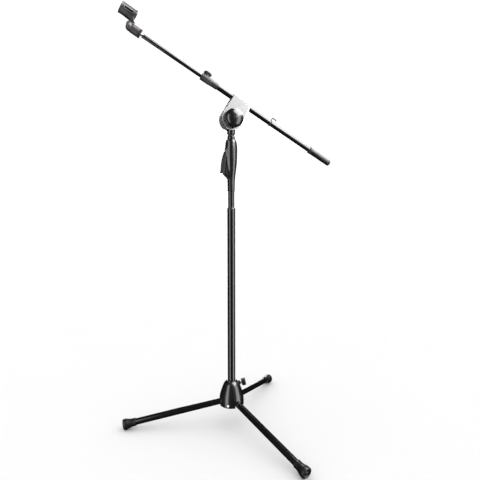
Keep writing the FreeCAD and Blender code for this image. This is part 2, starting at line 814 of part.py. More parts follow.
def strap_outline():
    """Side view of the strap: two straight edges that run tangent into a round bottom."""
    reach = math.hypot(strap_half_length, strap_top)
    lean = math.atan2(strap_top, strap_half_length) - math.acos(strap_round_r / reach)
    edge_x = strap_round_r * math.cos(lean)
    edge_z = strap_round_r * math.sin(lean)
    return plate(
        (-strap_half_length, strap_top + 1),
        [("line", (strap_half_length, strap_top + 1)),
         ("line", (strap_half_length, strap_top)),
         ("line", (edge_x, edge_z)),
         ("arc", (0.0, -strap_round_r), (-edge_x, edge_z)),
         ("line", (-strap_half_length, strap_top))], strap_width)


def arch(half_width, top, bottom, bend, half_length):
    """A bar along X with an arched section: flat top, rounded upper corners, open straight sides."""
    far = bend * bend_share
    section = face_from(
        (-half_width, bottom),
        [("line", (-half_width, top - bend)),
         ("arc", (-half_width + far, top - far), (-half_width + bend, top)),
         ("line", (half_width - bend, top)),
         ("arc", (half_width - far, top - far), (half_width, top - bend)),
         ("line", (half_width, bottom))], "yz")
    section.translate(Vector(-half_length, 0, 0))
    return section.extrude(Vector(2 * half_length, 0, 0))


def make_clamp():
    low = -strap_round_r - 5
    outside = arch(strap_width / 2, strap_top, low, strap_bend_r, behind_all)
    inside = arch(cheek_inside, strap_top - strap_sheet, low - 1, strap_bend_r - strap_sheet, behind_all + 1)
    strap = outside.cut(inside).common(strap_outline())
    lug_half = lug_width / 2
    strap = strap.cut(block(-lug_half_length - moving_gap, lug_half_length + moving_gap,
                            -lug_half - moving_gap, lug_half + moving_gap, strap_top - 6, strap_top + 5))
    strap = strap.cut(rod(bolt_r + fit_gap, -behind_all, behind_all, "y"))
    keep("clamp_strap", on_boom(strap))

    liner_top = strap_top - strap_sheet - fit_gap
    liner = arch(cheek_inside - fit_gap, liner_top, boom_offset - outer_r - liner_under_boom,
                 strap_bend_r - strap_sheet, strap_half_length - liner_end_gap)
    lug = block(-lug_half_length, lug_half_length, -lug_half, lug_half, liner_top - 2, strap_top + lug_proud)
    upper = [edge for edge in lug.Edges if edge.BoundBox.ZMin > strap_top + lug_proud - 0.01]
    liner = liner.fuse(lug.makeFillet(1.0, upper))
    liner = liner.cut(rod(outer_r + slide_gap, -behind_all, behind_all, "x", (0.0, boom_offset)))
    liner = liner.cut(block(-behind_all, behind_all, -liner_slit_half, liner_slit_half, 0, boom_offset))
    keep("clamp_liner", on_boom(liner))

    disc_in = head_thickness / 2 + slide_gap
    disc_out = cheek_inside - fit_gap
    keep("friction_disc_front", on_boom(pipe(friction_r, bolt_r + moving_gap, -disc_out, -disc_in, "y")))
    keep("friction_disc_back", on_boom(pipe(friction_r, bolt_r + moving_gap, disc_in, disc_out, "y")))

    face = strap_width / 2
    washer_out = face + fit_gap + washer_sheet
    keep("clamp_washer", on_boom(pipe(washer_r, bolt_r + fit_gap, -washer_out, -face - fit_gap, "y")))

    knob_back = washer_out + moving_gap
    bolt_end = knob_back + insert_length
    head = rod(bolt_head_r, face + fit_gap, face + bolt_head_height, "y")
    keep("clamp_bolt", on_boom(head.fuse(rod(bolt_r, -bolt_end, face + 1, "y"))))

    cover = turned(
        (0.0, face + fit_gap),
        [("line", (cover_r, face + fit_gap)),
         ("line", (cover_r, face + cover_depth - cover_rounding)),
         ("arc", (cover_r - bend_share * cover_rounding, face + cover_depth - bend_share * cover_rounding),
          (cover_r - cover_rounding, face + cover_depth)),
         ("line", (0.0, face + cover_depth))])
    hollow = rod(cover_r - cover_wall, face - 1, face + cover_depth - cover_wall)
    keep("back_cover", on_boom(laid(cover.cut(hollow), "y")))

    skirt_end = knob_back + knob_skirt
    apex = knob_back + knob_depth
    knob = turned(
        (0.0, knob_back),
        [("line", (knob_r - 4.0, knob_back)),
         ("line", (knob_r, knob_back + 3.0)),
         ("line", (knob_r, skirt_end - 1.5)),
         ("line", (knob_r - 1.0, skirt_end)),
         ("curve", (knob_r * 0.86, skirt_end + 5.4), (knob_r * 0.62, skirt_end + 10.2),
          (knob_r * 0.32, skirt_end + 13.4), (0.0, apex))])
    knob = knob.cut(rod(insert_r + fit_gap, knob_back - 1, knob_back + insert_length + 1))
    keep("dome_knob", on_boom(laid(knob, "-y")))
    insert = pipe(insert_r, bolt_r + running_gap, knob_back, knob_back + insert_length)
    keep("dome_knob_insert", on_boom(laid(insert, "-y")))


# ---- boom ----

def boom_rod(radius, start, end):
    """A cylinder on the boom's axis; places are counted towards the rear."""
    return rod(radius, start, end, "x", (0.0, boom_offset))


def boom_pipe(outer, inner, start, end):
    """A tube on the boom's axis; places are counted towards the rear."""
    return pipe(outer, inner, start, end, "x", (0.0, boom_offset))


def boom_turned(start, steps):
    """A solid turned about the boom's axis from (radius, place) pairs."""
    shape = laid(turned(start, steps), "x")
    shape.translate(Vector(0, 0, boom_offset))
    return shape


def make_boom():
    keep("outer_boom_tube", on_boom(boom_pipe(outer_r, outer_bore_r, -outer_front, outer_rear)))

    sleeve = boom_turned(
        (0.0, -sleeve_front),
        [("line", (sleeve_r - 1.0, -sleeve_front)),
         ("line", (sleeve_r, -sleeve_front + 1.0)),
         ("line", (sleeve_r, -sleeve_front + sleeve_head)),
         ("line", (sleeve_tail_r + 0.8, -sleeve_front + sleeve_head + 2.5)),
         ("line", (sleeve_tail_r, -sleeve_rear - 1.0)),
         ("line", (sleeve_tail_r - 1.0, -sleeve_rear)),
         ("line", (0.0, -sleeve_rear))])
    lock_x = lock_from_end - sleeve_front
    boss = rod(lock_boss_r, boom_offset, boom_offset + lock_boss_height, "z", (lock_x, 0.0))
    sleeve = sleeve.fuse(boss)
    sleeve = sleeve.cut(boom_rod(inner_r + slide_gap, -sleeve_front - 1, -sleeve_rear + 1))
    sleeve = sleeve.cut(boom_rod(outer_r + fit_gap, -outer_front - fit_gap, -sleeve_rear + 1))
    screw_hole = rod(lock_screw_r + running_gap, boom_offset, boom_offset + behind_all, "z", (lock_x, 0.0))
    keep("boom_lock_sleeve", on_boom(sleeve.cut(screw_hole)))

    knob_low = boom_offset + lock_boss_height + open_gap
    knob = fluted(lock_knob_r, lock_knob_height, lock_knob_flutes)
    knob.translate(Vector(lock_x, 0, knob_low))
    bore = rod(lock_screw_r + fit_gap, knob_low - 1, knob_low + lock_socket, "z", (lock_x, 0.0))
    keep("boom_lock_knob", on_boom(knob.cut(bore)))
    tip = boom_offset + inner_r + moving_gap
    screw_end = knob_low + lock_socket - stud_end_gap
    keep("boom_lock_screw", on_boom(rod(lock_screw_r, tip, screw_end, "z", (lock_x, 0.0))))

    keep("inner_boom_tube", on_boom(boom_pipe(inner_r, inner_bore_r, -inner_front, inner_rear)))
    bush = boom_rod(outer_bore_r - slide_gap, inner_rear + fit_gap, inner_rear + 10)
    bush = bush.fuse(boom_rod(inner_bore_r - fit_gap, inner_rear - 12, inner_rear + 1))
    keep("inner_tube_bush", on_boom(bush))

    grip = boom_turned(
        (0.0, rear_grip_start),
        [("line", (rear_grip_r - 0.6, rear_grip_start)),
         ("line", (rear_grip_r, rear_grip_start + 0.6)),
         ("line", (rear_grip_tail_r, rear_grip_end - 6.0)),
         ("arc", (rear_grip_tail_r - 1.6, rear_grip_end - 1.7), (rear_grip_tail_r - 5.5, rear_grip_end)),
         ("line", (0.0, rear_grip_end))])
    grip = grip.cut(boom_rod(outer_r + fit_gap, rear_grip_start - 1, outer_rear + fit_gap))
    keep("rear_grip", on_boom(grip))
    ring_start = rear_grip_start - grip_ring_width
    grip_ring = boom_pipe(grip_ring_r, outer_r + fit_gap, ring_start, rear_grip_start - fit_gap)
    keep("rear_grip_ring", on_boom(grip_ring))
    keep("boom_end_plug", on_boom(boom_rod(outer_bore_r - fit_gap, outer_rear - 14, outer_rear)))


def make_cable_clip():
    ring_in = outer_r + running_gap
    ring_out = outer_r + clip_ring_wall
    end = clip_ring_start + clip_ring_width
    clip = boom_pipe(ring_out, ring_in, clip_ring_start, end)
    top = boom_offset + outer_r + hook_height
    half = hook_width / 2
    post = block(clip_ring_start, clip_ring_start + hook_sheet, -half, half,
                 boom_offset + outer_r + ring_bite, top)
    arm = block(clip_ring_start, clip_ring_start + hook_length, -half, half, top - hook_sheet, top)
    lip = block(clip_ring_start + hook_length - hook_sheet, clip_ring_start + hook_length,
                -half, half, top - hook_sheet - hook_lip, top)
    hook = post.fuse(arm).fuse(lip)
    keep("cable_clip", on_boom(clip.fuse(hook)))


# ---- microphone clip ----

def make_clip():
    stud = boom_rod(inner_bore_r - fit_gap, -inner_front - spigot_bite, -inner_front + stud_spigot)
    flange_end = -inner_front - fit_gap - thread_flange
    stud = stud.fuse(boom_rod(inner_r, flange_end, -inner_front - fit_gap))
    stud = stud.fuse(boom_rod(thread_r, flange_end - thread_length, flange_end + 1))
    keep("boom_stud", on_boom(stud))

    nut_back = -inner_front - nut_gap
    nut_front = nut_back - nut_thickness
    nut = boom_turned(
        (0.0, nut_front),
        [("line", (nut_r - nut_chamfer, nut_front)),
         ("line", (nut_r, nut_front + nut_chamfer)),
         ("line", (nut_r, nut_back - nut_chamfer)),
         ("line", (nut_r - nut_chamfer, nut_back)),
         ("line", (0.0, nut_back))])
    keep("clip_lock_nut", on_boom(nut.cut(boom_rod(thread_r + running_gap, nut_front - 1, nut_back + 1))))

    socket_back = nut_front - moving_gap
    socket_front = socket_back - socket_length
    pivot_z = boom_offset + knuckle_up
    base = boom_rod(socket_r, socket_front, socket_back)
    rims = [edge for edge in base.Edges if edge.Length > 2 * math.pi * (socket_r - 0.1)]
    base = base.makeFillet(0.9, rims)
    ear_out = socket_r - ear_inset
    gap_half = tongue_width / 2 + moving_gap
    knuckle = rod(knuckle_r, -ear_out, ear_out, "y", (-knuckle_x, pivot_z))
    knuckle = knuckle.fuse(block(-knuckle_x, socket_front + 2, -ear_out, ear_out,
                                 pivot_z - knuckle_r, pivot_z + knuckle_r - 3.0))
    knuckle = knuckle.common(boom_rod(socket_r + 1.5, -knuckle_x - 30, socket_front + 5))
    base = base.fuse(knuckle)
    base = base.cut(rod(knuckle_r + ear_swing, -gap_half, gap_half, "y", (-knuckle_x, pivot_z)))
    base = base.cut(block(-knuckle_x - 30, -knuckle_x, -gap_half, gap_half, 20, 90))
    base = base.cut(boom_rod(thread_r + running_gap, socket_back - socket_thread, socket_back + 1))
    base = base.cut(rod(clip_bolt_r + fit_gap, -behind_all, behind_all, "y", (-knuckle_x, pivot_z)))
    keep("clip_base", on_boom(base))

    bolt = rod(clip_bolt_r, -ear_out - 1, ear_out + clip_bolt_proud, "y", (-knuckle_x, pivot_z))
    head_face = -ear_out - clip_head_height
    bolt = bolt.fuse(rod(clip_head_r, head_face, -ear_out - fit_gap, "y", (-knuckle_x, pivot_z)))
    bolt = bolt.cut(block(-knuckle_x - clip_slot_half, -knuckle_x + clip_slot_half, -behind_all,
                          head_face + clip_head_height / 2, pivot_z - clip_head_r, pivot_z + clip_head_r))
    keep("clip_pivot_bolt", on_boom(bolt))
    corners = []
    for index in range(7):
        angle = math.pi / 3 * index
        corners.append(Vector(-knuckle_x + clip_nut_corner * math.cos(angle), ear_out + fit_gap,
                              pivot_z + clip_nut_corner * math.sin(angle)))
    nut = Part.Face(Part.makePolygon(corners)).extrude(Vector(0, clip_nut_height, 0))
    keep("clip_pivot_nut", on_boom(nut.cut(rod(clip_bolt_r + fit_gap, 0, 30, "y", (-knuckle_x, pivot_z)))))

    centre_x = -clip_centre_x
    centre_z = boom_offset + clip_centre_z
    front = centre_x - clip_length / 2
    back = centre_x + clip_length / 2
    outer_clip_r = clip_bore_r + clip_wall
    barrel = rod(outer_clip_r, front, back, "x", (0.0, centre_z))
    for start in (front, back - clip_rim_width):
        barrel = barrel.fuse(rod(outer_clip_r + clip_rim, start, start + clip_rim_width, "x", (0.0, centre_z)))
    half_web = web_width / 2
    web_low = pivot_z + knuckle_r + web_clear
    web = plate(
        (front + 2.0, centre_z - 8.0),
        [("curve", (front + 8.0, centre_z - 17.0), (-knuckle_x - neck_half, web_low)),
         ("line", (-knuckle_x + neck_half, web_low)),
         ("curve", (back - 2.5, centre_z - 15.0), (back - 1.0, centre_z - 6.0))], half_web)
    neck = plate(
        (-knuckle_x - neck_half, web_low + 1.0),
        [("line", (-knuckle_x - 8.4, pivot_z)),
         ("line", (-knuckle_x + neck_behind, pivot_z)),
         ("line", (-knuckle_x + neck_behind, web_low + 1.0))], tongue_width / 2)
    eye = rod(knuckle_r - eye_inset, -tongue_width / 2, tongue_width / 2, "y", (-knuckle_x, pivot_z))
    clip = barrel.fuse(web).fuse(neck).fuse(eye)
    clip = clip.cut(rod(clip_bore_r, front - 5, back + 5, "x", (0.0, centre_z)))
    mouth_half = math.radians(clip_mouth_deg)
    far = behind_all
    mouth = face_from((0.0, centre_z), [("line", (far * math.tan(mouth_half), centre_z + far)),
                                        ("line", (-far * math.tan(mouth_half), centre_z + far))], "yz")
    mouth.translate(Vector(front - 5, 0, 0))
    clip = clip.cut(mouth.extrude(Vector(clip_length + 10, 0, 0)))
    window = block(centre_x - window_length / 2, centre_x + window_length / 2, -behind_all, behind_all,
                   centre_z + window_low, centre_z + window_high)
    upright = [edge for edge in window.Edges if edge.BoundBox.YLength > behind_all]
    clip = clip.cut(window.makeFillet(window_rounding, upright))
    clip = clip.cut(rod(clip_bolt_r + running_gap, -behind_all, behind_all, "y", (-knuckle_x, pivot_z)))
    keep("mic_clip", on_boom(clip))


make_hub()
make_base_knob()
make_legs()
make_column()
spring_fixed_end = make_brake()
make_grip()
make_trigger()
make_neck()
make_clamp()
make_boom()
make_cable_clip()
make_clip()

for name, shape in parts.items():
    if not shape.isValid():
        print("not valid:", name)
    shape.exportStep("parts/%s.step" % name)

print("pieces:", len(parts))
print("pivot height %.2f, brake spring fixed end %.2f" % (pivot_height, spring_fixed_end))
print("leg slope %.3f degrees, pin height %.2f" % (math.degrees(leg_slope), pin_height))
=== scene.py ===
import json
import math

import bmesh
import bpy
import numpy as np
from mathutils import Matrix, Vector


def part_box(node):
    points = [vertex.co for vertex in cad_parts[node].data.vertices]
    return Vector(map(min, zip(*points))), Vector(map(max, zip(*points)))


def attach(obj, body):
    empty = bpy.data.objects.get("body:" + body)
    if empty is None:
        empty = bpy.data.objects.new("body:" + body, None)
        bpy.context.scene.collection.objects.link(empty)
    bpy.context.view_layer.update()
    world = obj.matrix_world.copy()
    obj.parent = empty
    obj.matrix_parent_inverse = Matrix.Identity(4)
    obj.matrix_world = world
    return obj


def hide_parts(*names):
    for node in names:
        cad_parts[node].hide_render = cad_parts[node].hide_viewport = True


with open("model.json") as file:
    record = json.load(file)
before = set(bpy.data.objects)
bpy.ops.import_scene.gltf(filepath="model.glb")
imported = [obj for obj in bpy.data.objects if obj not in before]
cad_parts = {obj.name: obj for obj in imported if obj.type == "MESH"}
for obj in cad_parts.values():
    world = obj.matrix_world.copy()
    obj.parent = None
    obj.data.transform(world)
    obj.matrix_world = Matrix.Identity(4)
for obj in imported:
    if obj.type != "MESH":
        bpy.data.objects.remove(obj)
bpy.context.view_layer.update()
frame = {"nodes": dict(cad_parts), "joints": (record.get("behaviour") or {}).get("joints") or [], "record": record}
nodes = frame["nodes"]
joints = {joint["name"]: joint for joint in frame["joints"]}
print("frame loaded:", len(nodes), "nodes")

mm = 0.001


# ---- reading the frame ----

def unit(vector):
    vector = np.asarray(vector, float)
    return vector / np.linalg.norm(vector)


def jointPlace(name):
    return np.array(joints[name]["pos_m"], float)


def jointAxis(name):
    return unit(joints[name]["axis"])


def nodePoints(name):
    mesh = nodes[name].data
    flat = np.empty(len(mesh.vertices) * 3, np.float32)
    mesh.vertices.foreach_get("co", flat)
    return flat.reshape(-1, 3).astype(float)


def spanAlong(name, origin, axis):
    # lowest and highest distance along a line, then the least and greatest distance from it
    offset = nodePoints(name) - origin
    along = offset @ axis
    away = np.linalg.norm(offset - np.outer(along, axis), axis=1)
    return along.min(), along.max(), away.min(), away.max()


def lineThrough(name, towards):
    # the long axis of a round node: the centre of its box of points and its first principal direction
    points = nodePoints(name)
    centre = points.mean(axis=0)
    direction = np.linalg.svd(points - centre, full_matrices=False)[2][0]
    return centre, direction * np.sign(direction @ towards)


pivot = jointPlace("boom_tilt")
boomDir = jointAxis("boom_slide")           # towards the microphone
boomUp = jointAxis("boom_lock_turn")        # square to the boom, upwards
boomBack = -boomDir
sideY = np.array([0.0, 1.0, 0.0])
upZ = np.array([0.0, 0.0, 1.0])
boomOffset = (jointPlace("boom_lock_turn") - pivot) @ boomUp
boomFoot = pivot + boomUp * boomOffset      # the boom's axis, straight above the tilt pivot
legHinges = [jointPlace("leg_fold_%d" % k) for k in (1, 2, 3)]


# ---- shapes ----

def gridFaces(rows, cols, wrapRows=False, wrapCols=False, keep=None):
    # quads of a grid of points; their normals are the column direction crossed with the row direction
    i = np.arange(rows if wrapRows else rows - 1)
    j = np.arange(cols if wrapCols else cols - 1)
    ii, jj = np.meshgrid(i, j, indexing="ij")
    below, right = (ii + 1) % rows, (jj + 1) % cols
    quads = np.stack([ii * cols + jj, ii * cols + right, below * cols + right, below * cols + jj], axis=-1)
    return quads[keep] if keep is not None else quads.reshape(-1, 4)


def rounded(corners, steps=5):
    # an outline from (radius, along, fillet) corners in millimetres:
    # each fillet is a parabola tangent to the corner's two runs
    raw = np.array([corner[:2] for corner in corners], float)
    out = []
    for k, corner in enumerate(corners):
        fillet = corner[2] if len(corner) > 2 else 0.0
        if fillet <= 0 or k in (0, len(corners) - 1):
            out.append(raw[k])
            continue
        before, after = raw[k - 1] - raw[k], raw[k + 1] - raw[k]
        reach = min(fillet, 0.48 * np.linalg.norm(before), 0.48 * np.linalg.norm(after))
        start, end = raw[k] + unit(before) * reach, raw[k] + unit(after) * reach
        for share in np.linspace(0, 1, steps):
            out.append((1 - share) ** 2 * start + 2 * share * (1 - share) * raw[k] + share ** 2 * end)
    return np.array(out) * mm


def splined(points, count):
    # a smooth curve through the points: a Catmull-Rom spline, evenly stepped in its parameter
    points = np.asarray(points, float)
    padded = np.vstack([2 * points[0] - points[1], points, 2 * points[-1] - points[-2]])
    place = np.linspace(0, len(points) - 1 - 1e-9, count)
    k = place.astype(int)
    t = (place - k)[:, None]
    p0, p1, p2, p3 = padded[k], padded[k + 1], padded[k + 2], padded[k + 3]
    return 0.5 * (2 * p1 + (p2 - p0) * t + (2 * p0 - 5 * p1 + 4 * p2 - p3) * t ** 2
                  + (3 * p1 - p0 - 3 * p2 + p3) * t ** 3)


def crossAxes(axis, first=None):
    # two directions square to the axis, so that first x second = axis
    axis = unit(axis)
    if first is None:
        first = np.cross(upZ if abs(axis[2]) < 0.9 else sideY, axis)
    first = unit(first - (first @ axis) * axis)
    return first, np.cross(axis, first)


def turned(outline, origin, axis, columns=96, ripple=None, loop=False):
    # an outline of (radius, along) carried round an axis; ripple adds to the radius by angle and place
    a, b = crossAxes(axis)
    theta = 2 * np.pi * np.arange(columns) / columns
    radius, along = outline[:, :1] + 0 * theta, outline[:, 1:] + 0 * theta
    if ripple is not None:
        radius = np.maximum(radius + ripple(theta + 0 * radius, along, radius), 0.0)
    points = (origin + along[..., None] * unit(axis)
              + (radius * np.cos(theta))[..., None] * a + (radius * np.sin(theta))[..., None] * b)
    return points.reshape(-1, 3), gridFaces(len(outline), columns, loop, True)


def blended(a, b, width):
    # the larger of two values, with a round valley of the given width where they meet
    near = np.maximum(width - np.abs(a - b), 0.0) / width
    return np.maximum(a, b) + near ** 2 * width / 4


def newPiece(name, shells, body, finish, standsFor=(), sharp=38, closed=True):
    mesh = bpy.data.meshes.new(name)
    points, faces, count = [], [], 0
    for shellPoints, shellFaces in shells:
        points.append(shellPoints)
        faces += (shellFaces + count).tolist()
        count += len(shellPoints)
    mesh.from_pydata(np.vstack(points).tolist(), [], faces)
    work = bmesh.new()
    work.from_mesh(mesh)
    bmesh.ops.remove_doubles(work, verts=work.verts, dist=0.002 * mm)
    bmesh.ops.dissolve_degenerate(work, edges=work.edges, dist=0.001 * mm)
    if closed:
        bmesh.ops.recalc_face_normals(work, faces=work.faces)
    work.to_mesh(mesh)
    work.free()
    mesh.shade_smooth()
    mesh.set_sharp_from_angle(angle=math.radians(sharp))
    mesh.materials.append(finish)
    piece = bpy.data.objects.new(name, mesh)
    bpy.context.scene.collection.objects.link(piece)
    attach(piece, body)
    if standsFor:
        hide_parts(*standsFor)
    return piece


def thicken(piece, thickness, bevel=0.0, even=True):
    # a wall inwards from the surface, with softened rims
    wall = piece.modifiers.new("wall", "SOLIDIFY")
    wall.thickness = thickness
    wall.offset = -1
    wall.use_even_offset = even
    if bevel:
        soften(piece, bevel)


def soften(piece, width, angle=40):
    rim = piece.modifiers.new("rim", "BEVEL")
    rim.width = width
    rim.segments = 2
    rim.limit_method = "ANGLE"
    rim.angle_limit = math.radians(angle)
    rim.harden_normals = False


# ---- shader maths ----

class Signal:
    # one shader output; arithmetic on it adds Math nodes
    def __init__(self, recipe, socket):
        self.recipe, self.socket = recipe, socket

    def maths(self, operation, first, second):
        return self.recipe.node("ShaderNodeMath", {"operation": operation}, {0: first, 1: second})

    def __add__(self, other):
        return self.maths("ADD", self, other)

    def __radd__(self, other):
        return self.maths("ADD", other, self)

    def __sub__(self, other):
        return self.maths("SUBTRACT", self, other)

    def __rsub__(self, other):
        return self.maths("SUBTRACT", other, self)

    def __mul__(self, other):
        return self.maths("MULTIPLY", self, other)

    def __rmul__(self, other):
        return self.maths("MULTIPLY", other, self)

    def within(self, low, high):
        # 0 at low, 1 at high, smooth between
        return self.recipe.node("ShaderNodeMapRange", {"interpolation_type": "SMOOTHSTEP"},
                                {"Value": self, "From Min": low, "From Max": high})


class Recipe:
    # a material being made; fixed values go straight on the shader, the rest is linked
    def __init__(self, name, **fixed):
        self.material = bpy.data.materials.new(name)
        self.material.use_nodes = True
        self.tree = self.material.node_tree
        self.shader = self.tree.nodes["Principled BSDF"]
        self.place = self.node("ShaderNodeTexCoord", output="Object")
        for socket, value in fixed.items():
            self.shader.inputs[socket.replace("_", " ")].default_value = value

    def node(self, kind, settings=None, values=None, output=0):
        made = self.tree.nodes.new(kind)
        for key, value in (settings or {}).items():
            if key == "stops":
                ramp = made.color_ramp
                while len(ramp.elements) < len(value):
                    ramp.elements.new(0.5)
                for element, (at, colour) in zip(ramp.elements, value):
                    element.position, element.color = at, (*colour, 1.0)
            else:
                setattr(made, key, value)
        for key, value in (values or {}).items():
            if isinstance(value, Signal):
                self.tree.links.new(value.socket, made.inputs[key])
            else:
                made.inputs[key].default_value = value
        return Signal(self, made.outputs[output])

    def noise(self, scale, detail=2.0, stretch=(1, 1, 1), turn=(0, 0, 0), roughness=0.5):
        place = self.place
        if stretch != (1, 1, 1) or turn != (0, 0, 0):
            place = self.node("ShaderNodeMapping", None,
                              {"Vector": place, "Scale": stretch, "Rotation": turn})
        return self.node("ShaderNodeTexNoise", None, {"Vector": place, "Scale": scale, "Detail": detail,
                                                      "Roughness": roughness})

    def specks(self, scale, size):
        # 1 inside small scattered spots, 0 elsewhere
        near = self.node("ShaderNodeTexVoronoi", None, {"Vector": self.place, "Scale": scale})
        return 1 - near.within(0.6 * size, size)

    def tint(self, mask, first, second):
        values = {0: mask, 6: first if isinstance(first, Signal) else (*first, 1.0),
                  7: second if isinstance(second, Signal) else (*second, 1.0)}
        return self.node("ShaderNodeMix", {"data_type": "RGBA", "clamp_factor": True}, values, output=2)

    def edges(self, low=0.505, high=0.56):
        # 1 where the surface bulges outwards, as at worn edges
        bulge = self.node("ShaderNodeNewGeometry", output="Pointiness")
        return bulge.within(low, high)

    def finish(self, **links):
        for socket, signal in links.items():
            self.tree.links.new(signal.socket, self.shader.inputs[socket.replace("_", " ")])
        return self.material

    def bump(self, height, depth, strength=1.0, under=None):
        values = {"Height": height, "Distance": depth, "Strength": strength}
        if under is not None:
            values["Normal"] = under
        return self.node("ShaderNodeBump", None, values)


def blackPaint():
    # satin powder coat: a fine orange peel, slow changes of gloss, a few handling scratches and dust specks
    look = {"base": (0.0065, 0.0065, 0.007), "worn": (0.03, 0.03, 0.031), "peel": 480.0, "scratch": 60.0}
    r = Recipe("blackPaint", IOR=1.5, Coat_Roughness=0.1)
    slow = r.noise(9.0, 3.0)
    peel = r.noise(look["peel"], 1.5)
    scratch = r.noise(look["scratch"], 2.0, stretch=(1, 1, 0.06), turn=(0.12, 0.1, 0)).within(0.72, 0.76)
    dust = r.specks(240.0, 0.07) * slow.within(0.5, 0.7)
    colour = r.tint(dust * 0.35 + scratch * 0.2, look["base"], look["worn"])
    rough = 0.15 + slow * 0.06 + peel * 0.03 + scratch * 0.06 + dust * 0.1
    return r.finish(Base_Color=colour, Roughness=rough, Coat_Weight=0.35 - slow * 0.15)


def glossPlastic():
    # injection moulded, polished tool: soft flow ripples and fine rubbing marks
    look = {"base": (0.009, 0.009, 0.0095), "rubbed": (0.032, 0.032, 0.033)}
    r = Recipe("glossPlastic", IOR=1.49, Coat_Roughness=0.1)
    flow = r.noise(26.0, 2.0, stretch=(1, 1, 0.5))
    grain = r.noise(900.0, 2.0)
    rubs = r.noise(140.0, 4.0, stretch=(0.3, 1, 1), turn=(0.4, 0.2, 0.7)).within(0.62, 0.7)
    colour = r.tint(rubs * 0.25 + r.edges() * 0.15, look["base"], look["rubbed"])
    rough = 0.23 + flow * 0.08 + rubs * 0.05 + grain * 0.03
    return r.finish(Base_Color=colour, Roughness=rough, Coat_Weight=0.3 + flow * 0.2,
                    Normal=r.bump(grain, 0.000006, 0.15, r.bump(flow, 0.00006, 0.1)))


def mattePlastic():
    # spark-eroded mould texture
    look = {"base": (0.013, 0.013, 0.0135), "high": (0.032, 0.032, 0.033)}
    r = Recipe("mattePlastic", IOR=1.49)
    grain = r.noise(1500.0, 3.0, roughness=0.7)
    slow = r.noise(30.0, 2.0)
    colour = r.tint(grain.within(0.5, 0.75) * 0.5 + r.edges() * 0.35, look["base"], look["high"])
    return r.finish(Base_Color=colour, Roughness=0.4 + grain * 0.16 + slow * 0.08,
                    Normal=r.bump(grain, 0.00008, 0.6))


def clipPlastic():
    # flexible grey-brown nylon: fine grain, paler where it has been rubbed
    look = {"base": (0.045, 0.036, 0.038), "pale": (0.12, 0.108, 0.11), "deep": (0.018, 0.014, 0.015)}
    r = Recipe("clipPlastic", IOR=1.5)
    grain = r.noise(1300.0, 3.0, roughness=0.65)
    slow = r.noise(38.0, 3.0)
    colour = r.tint(slow.within(0.35, 0.7), look["deep"], look["base"])
    colour = r.tint(r.edges(0.51, 0.58) * 0.6 + grain.within(0.6, 0.8) * 0.12, colour, look["pale"])
    return r.finish(Base_Color=colour, Roughness=0.34 + grain * 0.14 + slow * 0.1,
                    Normal=r.bump(grain, 0.00007, 0.5))


def blackRubber():
    # moulded rubber: matte, with a faint bloom and dust in the pores
    look = {"base": (0.006, 0.006, 0.006), "bloom": (0.014, 0.014, 0.0135), "dust": (0.05, 0.048, 0.044)}
    r = Recipe("blackRubber", IOR=1.5)
    grain = r.noise(1100.0, 4.0, roughness=0.75)
    slow = r.noise(24.0, 3.0)
    low = r.node("ShaderNodeSeparateXYZ", None, {"Vector": r.place}, output=2).within(0.012, 0.0)
    colour = r.tint(slow.within(0.4, 0.75) * 0.6, look["base"], look["bloom"])
    colour = r.tint(low * grain.within(0.35, 0.6) * 0.3, colour, look["dust"])
    return r.finish(Base_Color=colour, Roughness=0.26 + grain * 0.1 + slow * 0.08,
                    Normal=r.bump(grain, 0.00003, 0.3))


def brightSheet():
    # satin nickel on pressed sheet: fine brushing along the boom, soft smudges
    look = {"base": (0.88, 0.88, 0.885), "shade": (0.74, 0.735, 0.74)}
    r = Recipe("brightSheet", IOR=1.6)
    tilt = math.atan2(boomBack[2], boomBack[0])
    brushed = r.noise(1700.0, 3.0, stretch=(0.03, 1, 1), turn=(0, tilt, 0))
    smudge = r.noise(45.0, 3.0)
    colour = r.tint(brushed.within(0.35, 0.7) * 0.35 + smudge.within(0.5, 0.8) * 0.3, look["base"],
                    look["shade"])
    return r.finish(Base_Color=colour, Metallic=0.8 + smudge * 0.1,
                    Roughness=0.12 + brushed * 0.03 + smudge * 0.04)


def plated(name, colour, shade, rough, grainScale, grainDepth):
    # bare or plated metal: slow tarnish, turned or cast grain
    r = Recipe(name)
    slow = r.noise(70.0, 3.0)
    grain = r.noise(grainScale, 3.0)
    return r.finish(Base_Color=r.tint(slow.within(0.4, 0.8) * 0.6 + grain * 0.15, colour, shade),
                    Metallic=1 - slow.within(0.7, 0.9) * 0.15,
                    Roughness=rough + slow * 0.14 + grain * 0.08,
                    Normal=r.bump(grain, grainDepth, 0.4))


def frictionPad():
    # pressed fibre: coarse flecks
    r = Recipe("frictionPad", IOR=1.45)
    fleck = r.noise(420.0, 5.0, roughness=0.8)
    colour = r.tint(fleck.within(0.4, 0.65), (0.02, 0.019, 0.018), (0.085, 0.08, 0.074))
    return r.finish(Base_Color=colour, Roughness=0.7 + fleck * 0.2, Normal=r.bump(fleck, 0.0002, 0.6))


